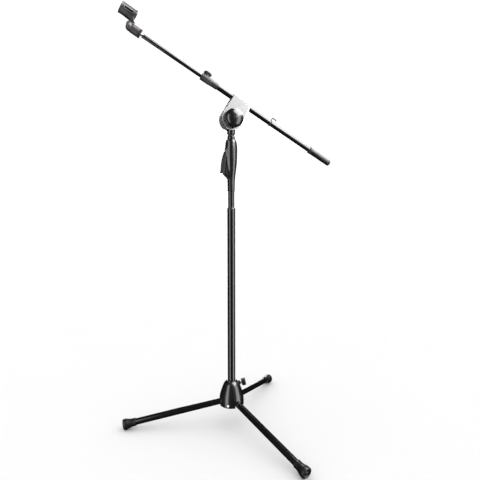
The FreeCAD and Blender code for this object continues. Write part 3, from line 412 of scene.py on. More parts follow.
finishes = {
    "black_steel": blackPaint(),
    "gloss_plastic": glossPlastic(),
    "matte_plastic": mattePlastic(),
    "clip_plastic": clipPlastic(),
    "rubber": blackRubber(),
    "bright_sheet": brightSheet(),
    "chrome": plated("chromePlate", (0.84, 0.845, 0.86), (0.68, 0.68, 0.7), 0.06, 300.0, 0.000004),
    "steel": plated("zincSteel", (0.6, 0.6, 0.61), (0.42, 0.42, 0.44), 0.26, 900.0, 0.00001),
    "casting": plated("greyCasting", (0.36, 0.36, 0.37), (0.2, 0.2, 0.21), 0.48, 700.0, 0.00012),
    "friction_pad": frictionPad(),
    "brass": plated("turnedBrass", (0.76, 0.6, 0.28), (0.5, 0.36, 0.15), 0.2, 1100.0, 0.00001),
}
for subpart in frame["record"]["subparts"]:
    cadObject = nodes[subpart["node"]]
    cadObject.data.materials.clear()
    cadObject.data.materials.append(finishes[subpart["material_slot"]])
print("materials made:", len(finishes))


# ---- tubes ----

def makeTube(name, node, body, origin, axis, finish="black_steel"):
    # a drawn tube: outside, rolled ends and bore in one closed outline, taken from the node's own size
    tube = {"edge": 0.45, "columns": 72}
    low, high, bore, radius = np.array(spanAlong(node, origin, axis)) / mm
    outline = rounded([(bore, (low + high) / 2), (bore, low, tube["edge"]), (radius, low, tube["edge"]),
                       (radius, high, tube["edge"]), (bore, high, tube["edge"]), (bore, (low + high) / 2)])
    return newPiece(name, [turned(outline[:-1], origin, axis, tube["columns"], loop=True)],
                    body, finishes[finish], [node])


columnFoot = np.zeros(3)
makeTube("lowerColumnTube", "lower_tube", "base", columnFoot, upZ)
makeTube("upperColumnTube", "upper_tube", "column", columnFoot, upZ)
makeTube("outerBoomTube", "outer_boom_tube", "boom", boomFoot, boomDir)
makeTube("innerBoomTube", "inner_boom_tube", "inner_boom", boomFoot, boomDir)
legLines = []
for k in (1, 2, 3):
    origin, axis = lineThrough("leg_tube_%d" % k, legHinges[k - 1] * (1, 1, 0))
    legLines.append((origin, axis))
    makeTube("legTube%d" % k, "leg_tube_%d" % k, "leg_%d" % k, origin, axis)
print("tubes made")


# ---- base ----

def flutes(count, depth, radius, sharpness=1.6):
    # round grooves round a knob: a raised cosine by angle, fading out towards the middle of the end faces
    def ripple(theta, along, r):
        rim = np.clip((r / (radius * mm) - 0.72) / 0.2, 0, 1)
        return -depth * mm * (0.5 + 0.5 * np.cos(count * theta)) ** sharpness * rim
    return ripple


def makeBell():
    # the side profile turned round the column; its lower edge rises over each leg as a square-shouldered arch
    bell = {"radius": 40.0, "topRadius": 17.0, "topRim": 149.0, "rimHeight": 2.0, "wall": 3.0,
            "archHalf": 11.6, "archPower": 4.5, "columns": 540, "rows": 34}
    low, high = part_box("hub_housing")
    floor = low.z / mm
    side = [(0.0, 1.0), (0.34, 0.885), (0.60, 0.705), (0.80, 0.53), (0.95, 0.37), (1.0, 0.20)]
    span, drop = bell["radius"] - bell["topRadius"], bell["topRim"] - floor
    curve = splined([(bell["topRadius"] + span * out, floor + drop * up) for out, up in side], bell["rows"])
    hole = spanAlong("lower_tube", columnFoot, upZ)[3] / mm
    cap = np.array([(hole + 0.1, high.z / mm - 0.6), (hole + 0.7, high.z / mm),
                    (bell["topRadius"] - 1.2, high.z / mm),
                    (bell["topRadius"] - 0.3, high.z / mm - 0.6)])
    skirt = np.array([(bell["radius"], floor + 6), (bell["radius"] + 0.25, floor + 4.5),
                      (bell["radius"] + 0.25, floor + 2.0), (bell["radius"] - 0.6, floor)])
    profile = np.vstack([cap, curve, skirt])[::-1]
    theta = 2 * np.pi * np.arange(bell["columns"]) / bell["columns"]
    edge = np.full_like(theta, floor)
    for hinge, (origin, axis) in zip(legHinges, legLines):
        turn = theta - math.atan2(hinge[1], hinge[0])
        ahead = np.cos(turn) > 0
        aside = np.abs(np.sin(turn)) * bell["radius"] / bell["archHalf"]
        reach = (bell["radius"] * mm - np.linalg.norm(origin[:2])) / np.linalg.norm(axis[:2])
        crown = (origin[2] + axis[2] * reach) / mm + bell["archHalf"]
        arch = (1 - np.minimum(aside, 1) ** bell["archPower"]) ** (1 / bell["archPower"])
        edge = np.where(ahead & (aside < 1), floor + (crown - floor) * arch, edge)
    share = (profile[:, 1] - floor) / (bell["topRim"] - 30 - floor)
    lift = np.clip(1 - share, 0, 1)[:, None]
    height = profile[:, 1:] + (edge - floor) * lift
    radius = profile[:, :1] + 0 * height
    radius[:-len(cap)] = np.interp(height[:-len(cap)], *profile[:-len(cap)].T[::-1])
    points = np.stack([radius * np.cos(theta), radius * np.sin(theta), height], axis=-1) * mm
    piece = newPiece("bellHousing",
                     [(points.reshape(-1, 3), gridFaces(len(profile), bell["columns"], False, True))],
                     "base", finishes["gloss_plastic"], ["hub_housing"], closed=False)
    thicken(piece, bell["wall"] * mm, even=False)


def makeBaseKnob():
    knob = {"flutes": 10, "depth": 0.9, "boss": 7.0, "bossWall": 2.9}
    origin, axis = lineThrough("base_knob_stud", np.array([*(-legHinges[0][:2]), 0.0]))
    low, high, bore, radius = np.array(spanAlong("base_knob", origin, axis)) / mm
    stud = spanAlong("base_knob_stud", origin, axis)[3] / mm
    outline = rounded([(0, low + 9), (stud, low + 9), (stud, low), (radius - 4, low, 0.4),
                       (radius - 3.2, low + 1.4, 0.8),
                       (radius, low + 2.2, 1.2), (radius, high - 1.6, 1.6), (radius - 2.2, high, 1.2),
                       (radius - 4.0, high, 0.5), (radius - 4.6, high - 0.7, 0.5), (0, high - 0.7)])
    newPiece("baseKnob", [turned(outline, origin, axis, 120, flutes(knob["flutes"], knob["depth"], radius))],
             "base_knob", finishes["gloss_plastic"], ["base_knob"])
    bossEnd = low - 3.0
    collar = rounded([(stud + 0.1, bossEnd - 13), (knob["boss"], bossEnd - 13), (knob["boss"], bossEnd, 0.8),
                      (stud + 0.1, bossEnd, 0.4)])
    newPiece("baseKnobBoss", [turned(collar, origin, axis, 64, loop=True)], "base",
             finishes["gloss_plastic"])


def makeFeet():
    # a boot carried round the leg's line; what would lie under the floor is pressed flat against it
    foot = {"neck": 12.2, "flare": 17.0, "socket": 26.9, "length": 40.0}
    for k, (origin, axis) in enumerate(legLines, start=1):
        end = spanAlong("foot_%d" % k, origin, axis)[1] / mm
        tube = spanAlong("leg_tube_%d" % k, origin, axis)[3] / mm + 0.05
        start, neck, flare = end - foot["length"], foot["neck"], foot["flare"]
        outline = rounded([(0, start + foot["socket"]), (tube, start + foot["socket"]), (tube, start),
                           (neck + 0.5, start, 0.6), (neck + 0.5, start + 2.2, 0.5), (neck, start + 2.6, 0.4),
                           (neck + 0.2, start + 13, 4), (neck + 2.2, start + 21, 5),
                           (flare - 0.5, start + 28, 5),
                           (flare, end - 7, 2), (flare, end - 6.2, 0.3), (flare - 0.5, end - 5.7, 0.3),
                           (flare, end - 5.2, 0.3), (flare, end, 3.2), (flare - 6, end, 1.2),
                           (flare - 7.2, end - 1.8, 1),
                           (5.2, end - 1.8, 0.8), (4.6, end - 0.5, 0.8), (0, end - 0.4)], 7)
        points, faces = turned(outline, origin, axis, 112)
        points[:, 2] = np.maximum(points[:, 2], 0.0)
        newPiece("footBoot%d" % k, [(points, faces)], "leg_%d" % k, finishes["rubber"],
                 ["foot_%d" % k])


makeBell()
makeBaseKnob()
makeFeet()
print("base made")


# ---- column, grip and trigger ----

def makeColumnRings():
    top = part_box("column_bush")[1].z / mm
    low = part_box("column_bush")[0].z / mm
    tube = spanAlong("lower_tube", columnFoot, upZ)
    bore = spanAlong("upper_tube", columnFoot, upZ)[3] / mm + 0.1
    inner, lip = tube[2] / mm - 0.05, tube[3] / mm + 0.45
    seat = tube[1] / mm + 0.05
    outline = rounded([(bore, low), (inner, low), (inner, seat), (lip, seat, 0.3), (lip, seat + 4.4, 0.2),
                       (lip - 0.5, seat + 4.8, 0.2), (lip - 0.5, seat + 5.4, 0.2), (lip, seat + 5.8, 0.2),
                       (lip, top - 2.5, 0.8), (lip - 0.9, top - 0.6, 0.5), (lip - 1.6, top, 0.4),
                       (bore, top, 0.5)])
    newPiece("columnBush", [turned(outline, columnFoot, upZ, 96, loop=True)], "base",
             finishes["gloss_plastic"], ["column_bush"])

    low, high, bore, radius = np.array(spanAlong("neck_collar", columnFoot, upZ)) / mm
    seat = high - 9.5
    outline = rounded([(bore, low), (8.75, low, 0.4), (8.75, seat), (radius - 0.6, seat, 0.3),
                       (radius, seat + 0.8, 0.6),
                       (radius, high - 2.2, 0.8), (radius - 0.9, high - 0.9, 0.6), (radius - 1.3, high, 0.4),
                       (bore, high)])
    newPiece("neckCollar", [turned(outline, columnFoot, upZ, 96, loop=True)], "column",
             finishes["black_steel"], ["neck_collar"])

    low, high, bore, radius = np.array(spanAlong("swivel_washer", columnFoot, upZ)) / mm
    outline = rounded([(bore, low), (radius, low, 0.6), (radius - 0.5, (low + high) / 2, 0.8),
                       (radius, high, 0.6),
                       (bore, high)])
    newPiece("swivelWasher", [turned(outline, columnFoot, upZ, 96, loop=True)], "column",
             finishes["matte_plastic"], ["swivel_washer"])


def makeGrip():
    # two half shells: a round body whose radius follows a smooth side line, joined by a soft valley to a
    # square-shouldered fin on the trigger's side; each half stops at the seam or at the trigger's slot
    grip = {"finHalf": 9.8, "finPower": 6.0, "valley": 4.0, "slotHalf": 8.0, "wall": 2.4, "seam": 0.10,
            "rows": 150, "columns": 90}
    sidePoints = [(11.4, 0.0), (11.5, 0.13), (12.5, 0.25), (14.6, 0.365), (16.9, 0.485), (18.4, 0.60),
                  (19.1, 0.72), (19.2, 0.825), (18.5, 0.895), (17.2, 0.955), (15.2, 1.0)]
    finLine = [(-86.0, 8.0), (-83.0, 11.4), (-74.0, 20.5), (-67.5, 26.3), (-60.0, 26.0), (-35.0, 23.6),
               (-8.0, 20.6),
               (9.0, 18.6), (16.0, 14.0)]
    low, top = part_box("grip_shell_front")[0].z / mm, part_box("grip_shell_front")[1].z / mm
    shoulder = top - 2.45
    pin = jointPlace("trigger_squeeze")[2] / mm
    slotLow, slotHigh = pin - 70.5, pin + 8.2
    side = splined([(radius, low + 0.8 + (shoulder - low - 0.8) * up) for radius, up in sidePoints], 200)
    rows = np.sort(np.concatenate([np.linspace(low + 0.8, shoulder, grip["rows"]),
                                   [slotLow - 0.15, slotLow + 0.15, slotHigh - 0.15, slotHigh + 0.15]]))
    body = np.interp(rows, side[:, 1], side[:, 0])
    reach = np.interp(rows - pin, *np.array(splined(finLine, 200)).T)
    rows = np.concatenate([[low, low], rows, [top - 0.5, top, top]])
    body = np.concatenate([[10.4, 10.9], body, [12.8, 12.5, 10.4]])
    reach = np.concatenate([[1, 1], reach, [1, 1, 1]])
    for name, node, sign in (("gripShellFront", "grip_shell_front", -1),
                             ("gripShellBack", "grip_shell_back", 1)):
        inSlot = (rows > slotLow) & (rows < slotHigh)
        start = np.where(inSlot, np.arctan2(grip["slotHalf"], 0.96 * np.maximum(reach, body * 0.97)),
                         grip["seam"] / body)
        stop = np.pi - grip["seam"] / body
        share = np.linspace(0, 1, grip["columns"])
        share = share if sign < 0 else share[::-1]
        phi = start[:, None] + (stop - start)[:, None] * share
        power = grip["finPower"]
        box = (np.abs(np.cos(phi) / reach[:, None]) ** power + np.abs(np.sin(phi) / grip["finHalf"]) ** power)
        fin = np.where(np.cos(phi) > 0, box ** (-1 / power), 0)
        fin = np.where(reach[:, None] > 5, fin, 0)
        rho = blended(body[:, None] + 0 * phi, fin, grip["valley"])
        points = np.stack([-rho * np.cos(phi), sign * rho * np.sin(phi), rows[:, None] + 0 * phi],
                          axis=-1) * mm
        piece = newPiece(name, [(points.reshape(-1, 3), gridFaces(len(rows), grip["columns"]))], "column",
                         finishes["gloss_plastic"], [node], closed=False)
        thicken(piece, grip["wall"] * mm, 0.35 * mm)


def makeTrigger():
    # superellipse sections stacked down the lever, with a shallow finger dish along its outer face
    lever = {"half": 6.9, "power": 3.6, "dish": 0.7, "rows": 70, "columns": 64}
    pin = jointPlace("trigger_squeeze")[2] / mm
    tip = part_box("trigger_lever")[0].z / mm - pin
    outerLine = [(-18.6, 5.4), (-19.8, 4.2), (-24.0, -2.0), (-29.3, -18.0), (-32.6, -35.0), (-34.0, tip + 14),
                 (-35.0, tip + 6), (-36.7, tip + 1.2), (-36.6, tip)]
    innerLine = [(-14.6, 5.6), (-13.2, 4.4), (-12.6, -2.0), (-15.0, -18.0), (-18.0, -35.0), (-21.0, tip + 14),
                 (-22.5, tip + 6), (-25.0, tip + 1.0), (-27.0, tip + 0.2)]
    outer = splined(outerLine, lever["rows"])
    inner = splined(innerLine, lever["rows"])
    middle, half = (outer + inner) / 2, (outer - inner) / 2
    angle = 2 * np.pi * np.arange(lever["columns"]) / lever["columns"]
    c, s = np.cos(angle), np.sin(angle)
    across = np.sign(c) * np.abs(c) ** (2 / lever["power"])
    aside = np.sign(s) * np.abs(s) ** (2 / lever["power"])
    narrow = np.interp(np.linspace(0, 1, lever["rows"]), [0, 0.03, 0.1, 0.97, 1.0],
                       [0.8, 0.93, 1.0, 1.0, 0.9])
    x = middle[:, :1] + half[:, :1] * across + lever["dish"] * (across > 0.7) * (1 - aside ** 2)
    z = pin + middle[:, 1:] + half[:, 1:] * across
    y = lever["half"] * narrow[:, None] * aside + 0 * x
    points = np.stack([x, y, z], axis=-1)
    ends = [np.repeat(points[k].mean(axis=0)[None], lever["columns"], axis=0)[None] for k in (0, -1)]
    points = np.concatenate([ends[0], points, ends[1]]) * mm
    newPiece("triggerLever", [(points.reshape(-1, 3),
                               gridFaces(lever["rows"] + 2, lever["columns"], False, True))],
             "trigger", finishes["gloss_plastic"], ["trigger_lever"], sharp=50)


makeColumnRings()
makeGrip()
makeTrigger()
print("column and grip made")


# ---- clamp head ----

def makeStrap():
    # one bent sheet: an arched section from cheek to cheek, as wide at each height as its side outline,
    # which is two straight edges running tangent into a round bottom
    strap = {"round": 34.0, "topHalf": 30.0, "bend": 7.0, "sheet": 2.5, "lugHalf": 15.8, "lugWidth": 6.3,
             "columns": 40}
    local = nodePoints("clamp_strap") - pivot
    top = (local @ boomUp).max() / mm
    half = local[:, 1].max() / mm
    reach = math.hypot(strap["topHalf"], top)
    lean = math.atan2(top, strap["topHalf"]) - math.acos(strap["round"] / reach)
    edgeX, edgeN = strap["round"] * math.cos(lean), strap["round"] * math.sin(lean)
    corner = np.linspace(0, np.pi / 2, 9)
    low = -strap["round"] * np.cos(np.linspace(0, np.pi / 2, 22))
    rise = np.concatenate([low, np.linspace(0, top - strap["bend"], 20)[1:]])
    bendY = -half + strap["bend"] - strap["bend"] * np.cos(corner)[1:]
    bendN = top - strap["bend"] + strap["bend"] * np.sin(corner)[1:]
    flat = np.linspace(-half + strap["bend"], -strap["lugWidth"], 4)[1:]
    y = np.concatenate([-half + 0 * rise, bendY, flat])
    n = np.concatenate([rise, bendN, top + 0 * flat])
    y, n = np.concatenate([y, -y[::-1]]), np.concatenate([n, n[::-1]])
    straight = edgeX + (strap["topHalf"] - edgeX) * (n - edgeN) / (top - edgeN)
    wide = np.where(n < edgeN, np.sqrt(np.maximum(strap["round"] ** 2 - n ** 2, 0)), straight)
    lug = strap["lugHalf"] / strap["topHalf"]
    share = np.concatenate([np.linspace(-1, -lug, 8), np.linspace(-lug, lug, 18)[1:-1],
                            np.linspace(lug, 1, 8)])
    points = (pivot + (wide[:, None, None] * share[None, :, None] * boomBack + y[:, None, None] * sideY
                       + n[:, None, None] * boomUp) * mm)
    keep = np.ones((len(y) - 1, len(share) - 1), bool)
    middle = len(y) // 2 - 1
    keep[middle, 7:-7] = False
    piece = newPiece("clampStrap", [(points.reshape(-1, 3), gridFaces(len(y), len(share), keep=keep))],
                     "clamp",
                     finishes["bright_sheet"], ["clamp_strap"], closed=False)
    thicken(piece, strap["sheet"] * mm, 0.45 * mm)


def makeDomeKnob():
    front = -sideY
    low, high, bore, radius = np.array(spanAlong("dome_knob", pivot, front)) / mm
    skirt = low + 18.0
    dome = splined([(radius - 1.1, skirt), (radius * 0.86, skirt + 5.4), (radius * 0.62, skirt + 10.2),
                    (radius * 0.32, skirt + 13.4), (0, high)], 40)
    rim = rounded([(0, low + 17), (8.05, low + 17), (8.05, low), (radius - 4.2, low, 0.5),
                   (radius - 3.4, low + 1.2, 0.8),
                   (radius, low + 2.2, 1.4), (radius, low + 12.6, 0.6), (radius - 0.9, low + 13.2, 0.4),
                   (radius - 0.9, low + 14.2, 0.4), (radius, low + 14.8, 0.5), (radius, skirt - 1.0, 1.0),
                   (radius - 1.1, skirt)])
    outline = np.vstack([rim, dome[1:] * mm])
    outline[-1, 0] = 0.0
    newPiece("domeKnob", [turned(outline, pivot, front, 144)], "dome_knob",
             finishes["gloss_plastic"], ["dome_knob"], sharp=50)

    low, high, bore, radius = np.array(spanAlong("clamp_washer", pivot, front)) / mm
    outline = rounded([(bore, low), (radius, low, 0.4), (radius, high, 0.5), (bore, high, 0.3)])
    newPiece("clampWasher", [turned(outline, pivot, front, 80, loop=True)], "clamp",
             finishes["chrome"],
             ["clamp_washer"])

    low, high, bore, radius = np.array(spanAlong("back_cover", pivot, sideY)) / mm
    outline = rounded([(0, high - 2.2), (radius - 2.2, high - 2.2, 1), (radius - 2.2, low),
                       (radius, low, 0.4),
                       (radius, high - 4.5, 0.5), (radius - 0.6, high - 4.1, 0.4),
                       (radius - 0.6, high - 3.2, 0.8),
                       (radius - 4.2, high, 2.5), (17.0, high, 0.4), (16.4, high - 0.7, 0.4),
                       (15.2, high - 0.7, 0.4),
                       (14.6, high, 0.4), (0, high)], 7)
    newPiece("backCover", [turned(outline, pivot, sideY, 112)], "clamp",
             finishes["gloss_plastic"],
             ["back_cover"])


makeStrap()
makeDomeKnob()
print("clamp head made")


# ---- boom fittings ----

def makeSleeve():
    low, high = np.array(spanAlong("boom_lock_sleeve", boomFoot, boomDir))[:2] / mm
    step = spanAlong("outer_boom_tube", boomFoot, boomDir)[1] / mm + 0.05
    outerBore = spanAlong("outer_boom_tube", boomFoot, boomDir)[3] / mm + 0.05
    innerBore = spanAlong("inner_boom_tube", boomFoot, boomDir)[3] / mm + 0.1
    head, tail = outerBore + 2.9, outerBore + 1.3
    outline = rounded([(outerBore, low), (tail - 0.5, low, 0.4), (tail, low + 1, 0.5),
                       (tail + 0.8, high - 33.5, 1.5),
                       (head, high - 31, 1.2), (head, high - 6.4, 0.4), (head - 0.6, high - 5.9, 0.3),
                       (head - 0.6, high - 5.1, 0.3), (head, high - 4.6, 0.4), (head, high - 1, 0.8),
                       (head - 1.2, high, 0.5),
                       (innerBore, high, 0.3), (innerBore, step), (outerBore, step)])
    lock = jointPlace("boom_lock_turn")
    knobLow, knobHigh, bore, radius = np.array(spanAlong("boom_lock_knob", lock, boomUp)) / mm
    boss = rounded([(3.06, 6.5), (9.5, 6.5), (9.5, knobLow - 1, 0.9), (3.06, knobLow - 1, 0.3)])
    newPiece("boomLockSleeve", [turned(outline, boomFoot, boomDir, 96, loop=True),
                                turned(boss, lock, boomUp, 72, loop=True)],
             "boom", finishes["clip_plastic"], ["boom_lock_sleeve"])
    cap = rounded([(0, knobLow + 5), (3.05, knobLow + 5), (3.05, knobLow), (radius - 3.4, knobLow, 0.4),
                   (radius - 2.8, knobLow + 1.6, 0.6), (radius, knobLow + 2.4, 1.2),
                   (radius, knobHigh - 1.4, 1.4),
                   (radius - 2.0, knobHigh, 1.0), (radius - 3.6, knobHigh, 0.4),
                   (radius - 4.2, knobHigh - 0.6, 0.4),
                   (0, knobHigh - 0.6)])
    newPiece("boomLockKnob", [turned(cap, lock, boomUp, 144, flutes(12, 0.9, radius))], "boom_lock",
             finishes["clip_plastic"], ["boom_lock_knob"])


def makeRearGrip():
    low, high = np.array(spanAlong("rear_grip", boomFoot, boomBack))[:2] / mm
    tube = spanAlong("outer_boom_tube", boomFoot, boomBack)
    bore, end = tube[3] / mm + 0.05, tube[1] / mm + 0.05
    head, tail = bore + 2.1, bore + 1.5
    outline = rounded([(0, end), (bore, end), (bore, low), (head - 0.6, low, 0.3), (head, low + 0.6, 0.4),
                       (head, low + 3.2, 0.3), (head - 0.5, low + 3.6, 0.3), (head - 0.5, low + 4.4, 0.3),
                       (head, low + 4.8, 0.3), (tail + 0.1, high - 9.5, 0.4), (tail - 0.4, high - 9.1, 0.3),
                       (tail - 0.4, high - 8.3, 0.3), (tail, high - 7.9, 0.4), (tail, high - 3.4, 2.6),
                       (tail - 4.6, high, 3.0), (0, high)], 8)
    newPiece("rearGrip", [turned(outline, boomFoot, boomBack, 112)], "boom", finishes["rubber"],
             ["rear_grip"])
    low, high, bore, radius = np.array(spanAlong("rear_grip_ring", boomFoot, boomBack)) / mm
    outline = rounded([(bore, low), (radius, low, 0.9), (radius, high, 0.6), (bore, high)])
    newPiece("rearGripRing", [turned(outline, boomFoot, boomBack, 96, loop=True)], "boom",
             finishes["matte_plastic"], ["rear_grip_ring"])


def swept(path, axisNormal, halfThick, halfWide, columns=20, power=4.0):
    # a rounded-rectangle section carried along a flat path; its width lies along the plane's normal
    run = np.gradient(path, axis=0)
    run /= np.linalg.norm(run, axis=1)[:, None]
    across = np.cross(run, axisNormal)
    angle = 2 * np.pi * np.arange(columns) / columns
    thick = np.sign(np.cos(angle)) * np.abs(np.cos(angle)) ** (2 / power) * halfThick
    wide = np.sign(np.sin(angle)) * np.abs(np.sin(angle)) ** (2 / power) * halfWide
    points = path[:, None] + thick[None, :, None] * across[:, None] + wide[None, :, None] * axisNormal
    ends = [np.repeat(path[k][None, None], columns, axis=1) for k in (0, -1)]
    points = np.concatenate([ends[0], points, ends[1]])
    return points.reshape(-1, 3), gridFaces(len(points), columns, False, True)


def makeCableClip():
    clip = {"width": 4.0, "ring": 1.5, "hook": 16.0, "sheet": 2.2, "half": 3.0, "height": 11.5}
    low = spanAlong("cable_clip", boomFoot, boomBack)[0] / mm
    tube = spanAlong("outer_boom_tube", boomFoot, boomBack)[3] / mm
    outline = rounded([(tube + 0.06, low), (tube + clip["ring"], low, 0.6),
                       (tube + clip["ring"], low + clip["width"], 0.6),
                       (tube + 0.06, low + clip["width"])])
    ring = turned(outline, boomFoot, boomBack, 96, loop=True)
    top = tube + clip["height"] - clip["sheet"] / 2
    path = rounded([(low + 1.1, tube + 0.9), (low + 1.1, top, 2.6), (low + clip["hook"] - 1.1, top, 1.8),
                    (low + clip["hook"] - 1.1, top - 2.9)], 8)
    dense = splined(path, 60)
    line = boomFoot + dense[:, :1] * boomBack + dense[:, 1:] * boomUp
    hook = swept(line, sideY, clip["sheet"] / 2 * mm, clip["half"] * mm)
    newPiece("cableClip", [ring, hook], "cable_clip", finishes["matte_plastic"],
             ["cable_clip"])


def makeStud():
    # a round stud with a triangular thread: the radius falls and rises once per pitch along a helix
    thread = {"radius": 4.75, "depth": 0.75, "pitch": 1.5875, "perPitch": 10}
    low, high = np.array(spanAlong("boom_stud", boomFoot, boomDir))[:2] / mm
    seat = spanAlong("inner_boom_tube", boomFoot, boomDir)
    flange, bore, face = seat[3] / mm, seat[2] / mm - 0.05, seat[1] / mm + 0.05
    base = rounded([(0, low), (bore, low, 0.4), (bore, face), (flange, face, 0.2), (flange, face + 2, 0.4),
                    (thread["radius"] - 0.8, face + 2)])
    rows = int((high - face - 2.6) / thread["pitch"] * thread["perPitch"])
    along = np.linspace(face + 2.3, high - 0.4, rows)
    screw = np.column_stack([np.full(rows, thread["radius"]), along]) * mm
    tip = np.array([(thread["radius"] - 0.9, high), (0, high)]) * mm

    def ripple(theta, place, r):
        turns = place / (thread["pitch"] * mm) - theta / (2 * np.pi)
        saw = 2 * np.abs(turns - np.floor(turns) - 0.5)
        return np.where(r > (thread["radius"] - 0.1) * mm, -thread["depth"] * mm * (1 - saw), 0) * (
            (place > (face + 2.2) * mm) & (place < (high - 0.2) * mm))
    newPiece("boomStud", [turned(np.vstack([base, screw, tip]), boomFoot, boomDir, 64, ripple)], "inner_boom",
             finishes["chrome"], ["boom_stud"])

    low, high, bore, radius = np.array(spanAlong("clip_lock_nut", boomFoot, boomDir)) / mm
    outline = rounded([(bore, low), (radius - 1.8, low, 0.3), (radius - 1.2, low + 0.5, 0.3),
                       (radius, low + 1.5, 0.5),
                       (radius, high - 1.5, 0.5), (radius - 1.2, high - 0.5, 0.3), (radius - 1.8, high, 0.3),
                       (bore, high)])
    newPiece("clipLockNut", [turned(outline, boomFoot, boomDir, 360, flutes(60, 0.4, radius, 1.0),
                                    loop=True)],
             "lock_nut", finishes["matte_plastic"], ["clip_lock_nut"])


makeSleeve()
makeRearGrip()
makeCableClip()
makeStud()
print("boom fittings made")


# ---- microphone clip ----

def slab(outline, origin, xAxis, zAxis, half, soft):
    # a flat outline in millimetres, thickened both ways along Y, its rims cut back at 45 degrees
    before, after = np.roll(outline, 1, axis=0), np.roll(outline, -1, axis=0)
    run = after - before
    run /= np.linalg.norm(run, axis=1)[:, None]
    out = np.column_stack([run[:, 1], -run[:, 0]])
    inset = outline - out * soft * 0.8 * np.sign((out * (outline - outline.mean(axis=0))).sum())
    rings = [(outline * 0 + outline.mean(axis=0), -half), (inset, -half), (outline, -half + soft),
             (outline, half - soft), (inset, half), (outline * 0 + outline.mean(axis=0), half)]
    points = np.array([origin + (ring[:, :1] * xAxis + ring[:, 1:] * zAxis + depth * sideY) * mm
                       for ring, depth in rings])
    return points.reshape(-1, 3), gridFaces(len(rings), len(outline), False, True)


def makeMicClip():
    # an open barrel with a window in each arm, a body lofted from the neck up to the barrel's wall,
    # and a round-ended tongue for the pivot
    clip = {"bore": 13.6, "wall": 2.8, "rim": 0.8, "half": 23.0, "mouth": 24.0, "windowHalf": 12.0,
            "windowLow": -1.0, "windowHigh": 9.0, "eye": 10.5, "tongue": 3.95, "neckTop": 13.9}
    centre = next(np.array(m["pos_m"]) for m in frame["record"]["mounts"] if m["name"] == "mic_bore")
    knuckle = jointPlace("clip_tilt")
    ahead, above = (centre - knuckle) @ boomDir / mm, (centre - knuckle) @ boomUp / mm
    outer, middle = clip["bore"] + clip["wall"], clip["bore"] + clip["wall"] / 2
    windowTop = math.degrees(math.acos(clip["windowHigh"] / middle))
    windowEnd = math.degrees(math.acos(clip["windowLow"] / middle))
    half = np.array([clip["mouth"], clip["mouth"] + 3, 38, windowTop, windowTop + 6, 74, windowEnd - 7,
                     windowEnd,
                     104, 118, 132, 146, 160, 172])
    alpha = np.radians(np.concatenate([half, 360 - half[::-1]]))
    x = np.array([-23, -22.3, -20.4, -19.4, -16, -12, -8, -3, 3, 8, 12, 16, 19.4, 20.4, 22.3, 23.0])
    rim = np.where(np.abs(x) > 20, clip["rim"], 0.0)[:, None]
    lip = np.where(np.abs(np.cos(alpha)) > math.cos(math.radians(30)), 0.5, 0) * (np.cos(alpha) > 0)
    radius = outer + rim + lip
    points = centre + (x[:, None, None] * boomDir + (radius * np.cos(alpha))[..., None] * boomUp
                       + (radius * np.sin(alpha))[..., None] * sideY) * mm
    keep = np.ones((len(x) - 1, len(alpha) - 1), bool)
    keep[5:10, 3:7] = False
    keep[5:10, -7:-3] = False
    barrel = newPiece("micClipBarrel", [(points.reshape(-1, 3), gridFaces(len(x), len(alpha), keep=keep))],
                      "mic_clip", finishes["clip_plastic"], closed=False, sharp=80)
    wall = barrel.modifiers.new("wall", "SOLIDIFY")
    wall.thickness, wall.offset = clip["wall"] * mm, -1
    smooth = barrel.modifiers.new("smooth", "SUBSURF")
    smooth.levels = smooth.render_levels = 2

    rows, columns = 26, 72
    u = np.linspace(0, 1, rows)
    forward = np.interp(u, [0, 0.3, 0.65, 1], [0, 5.5, 15.5, ahead - 1.0])
    long = np.interp(u, [0, 0.3, 0.65, 1], [9.0, 13.0, 19.0, 20.5])
    broad = np.interp(u, [0, 0.25, 0.6, 1], [clip["tongue"], 7.5, 10.6, 12.4])
    angle = 2 * np.pi * np.arange(columns) / columns
    across = np.sign(np.cos(angle)) * np.abs(np.cos(angle)) ** (2 / 3.2)
    aside = np.sign(np.sin(angle)) * np.abs(np.sin(angle)) ** (2 / 3.2)
    sideways = broad[:, None] * aside
    ceiling = above - np.sqrt(middle ** 2 - sideways ** 2)
    height = clip["neckTop"] + (ceiling - clip["neckTop"]) * u[:, None]
    loft = knuckle + ((forward[:, None] + long[:, None] * across)[..., None] * boomDir
                      + sideways[..., None] * sideY + height[..., None] * boomUp) * mm
    bottom = np.repeat(loft[0].mean(axis=0)[None, None], columns, axis=1)
    body = (np.concatenate([bottom, loft]).reshape(-1, 3), gridFaces(rows + 1, columns, False, True))

    reach = np.linspace(-0.62 * np.pi, 0.55 * np.pi, 40) - np.pi / 2
    eye = np.column_stack([clip["eye"] * np.cos(reach), clip["eye"] * np.sin(reach)])
    outline = np.vstack([eye, [(8.6, clip["neckTop"] + 1.5), (-8.6, clip["neckTop"] + 1.5)]])
    tongue = slab(outline, knuckle, boomDir, boomUp, clip["tongue"], 0.8)
    newPiece("micClipBody", [body, tongue], "mic_clip", finishes["clip_plastic"],
             ["mic_clip"], sharp=60)


makeMicClip()
print("microphone clip made")


# ---- floor, light and camera ----

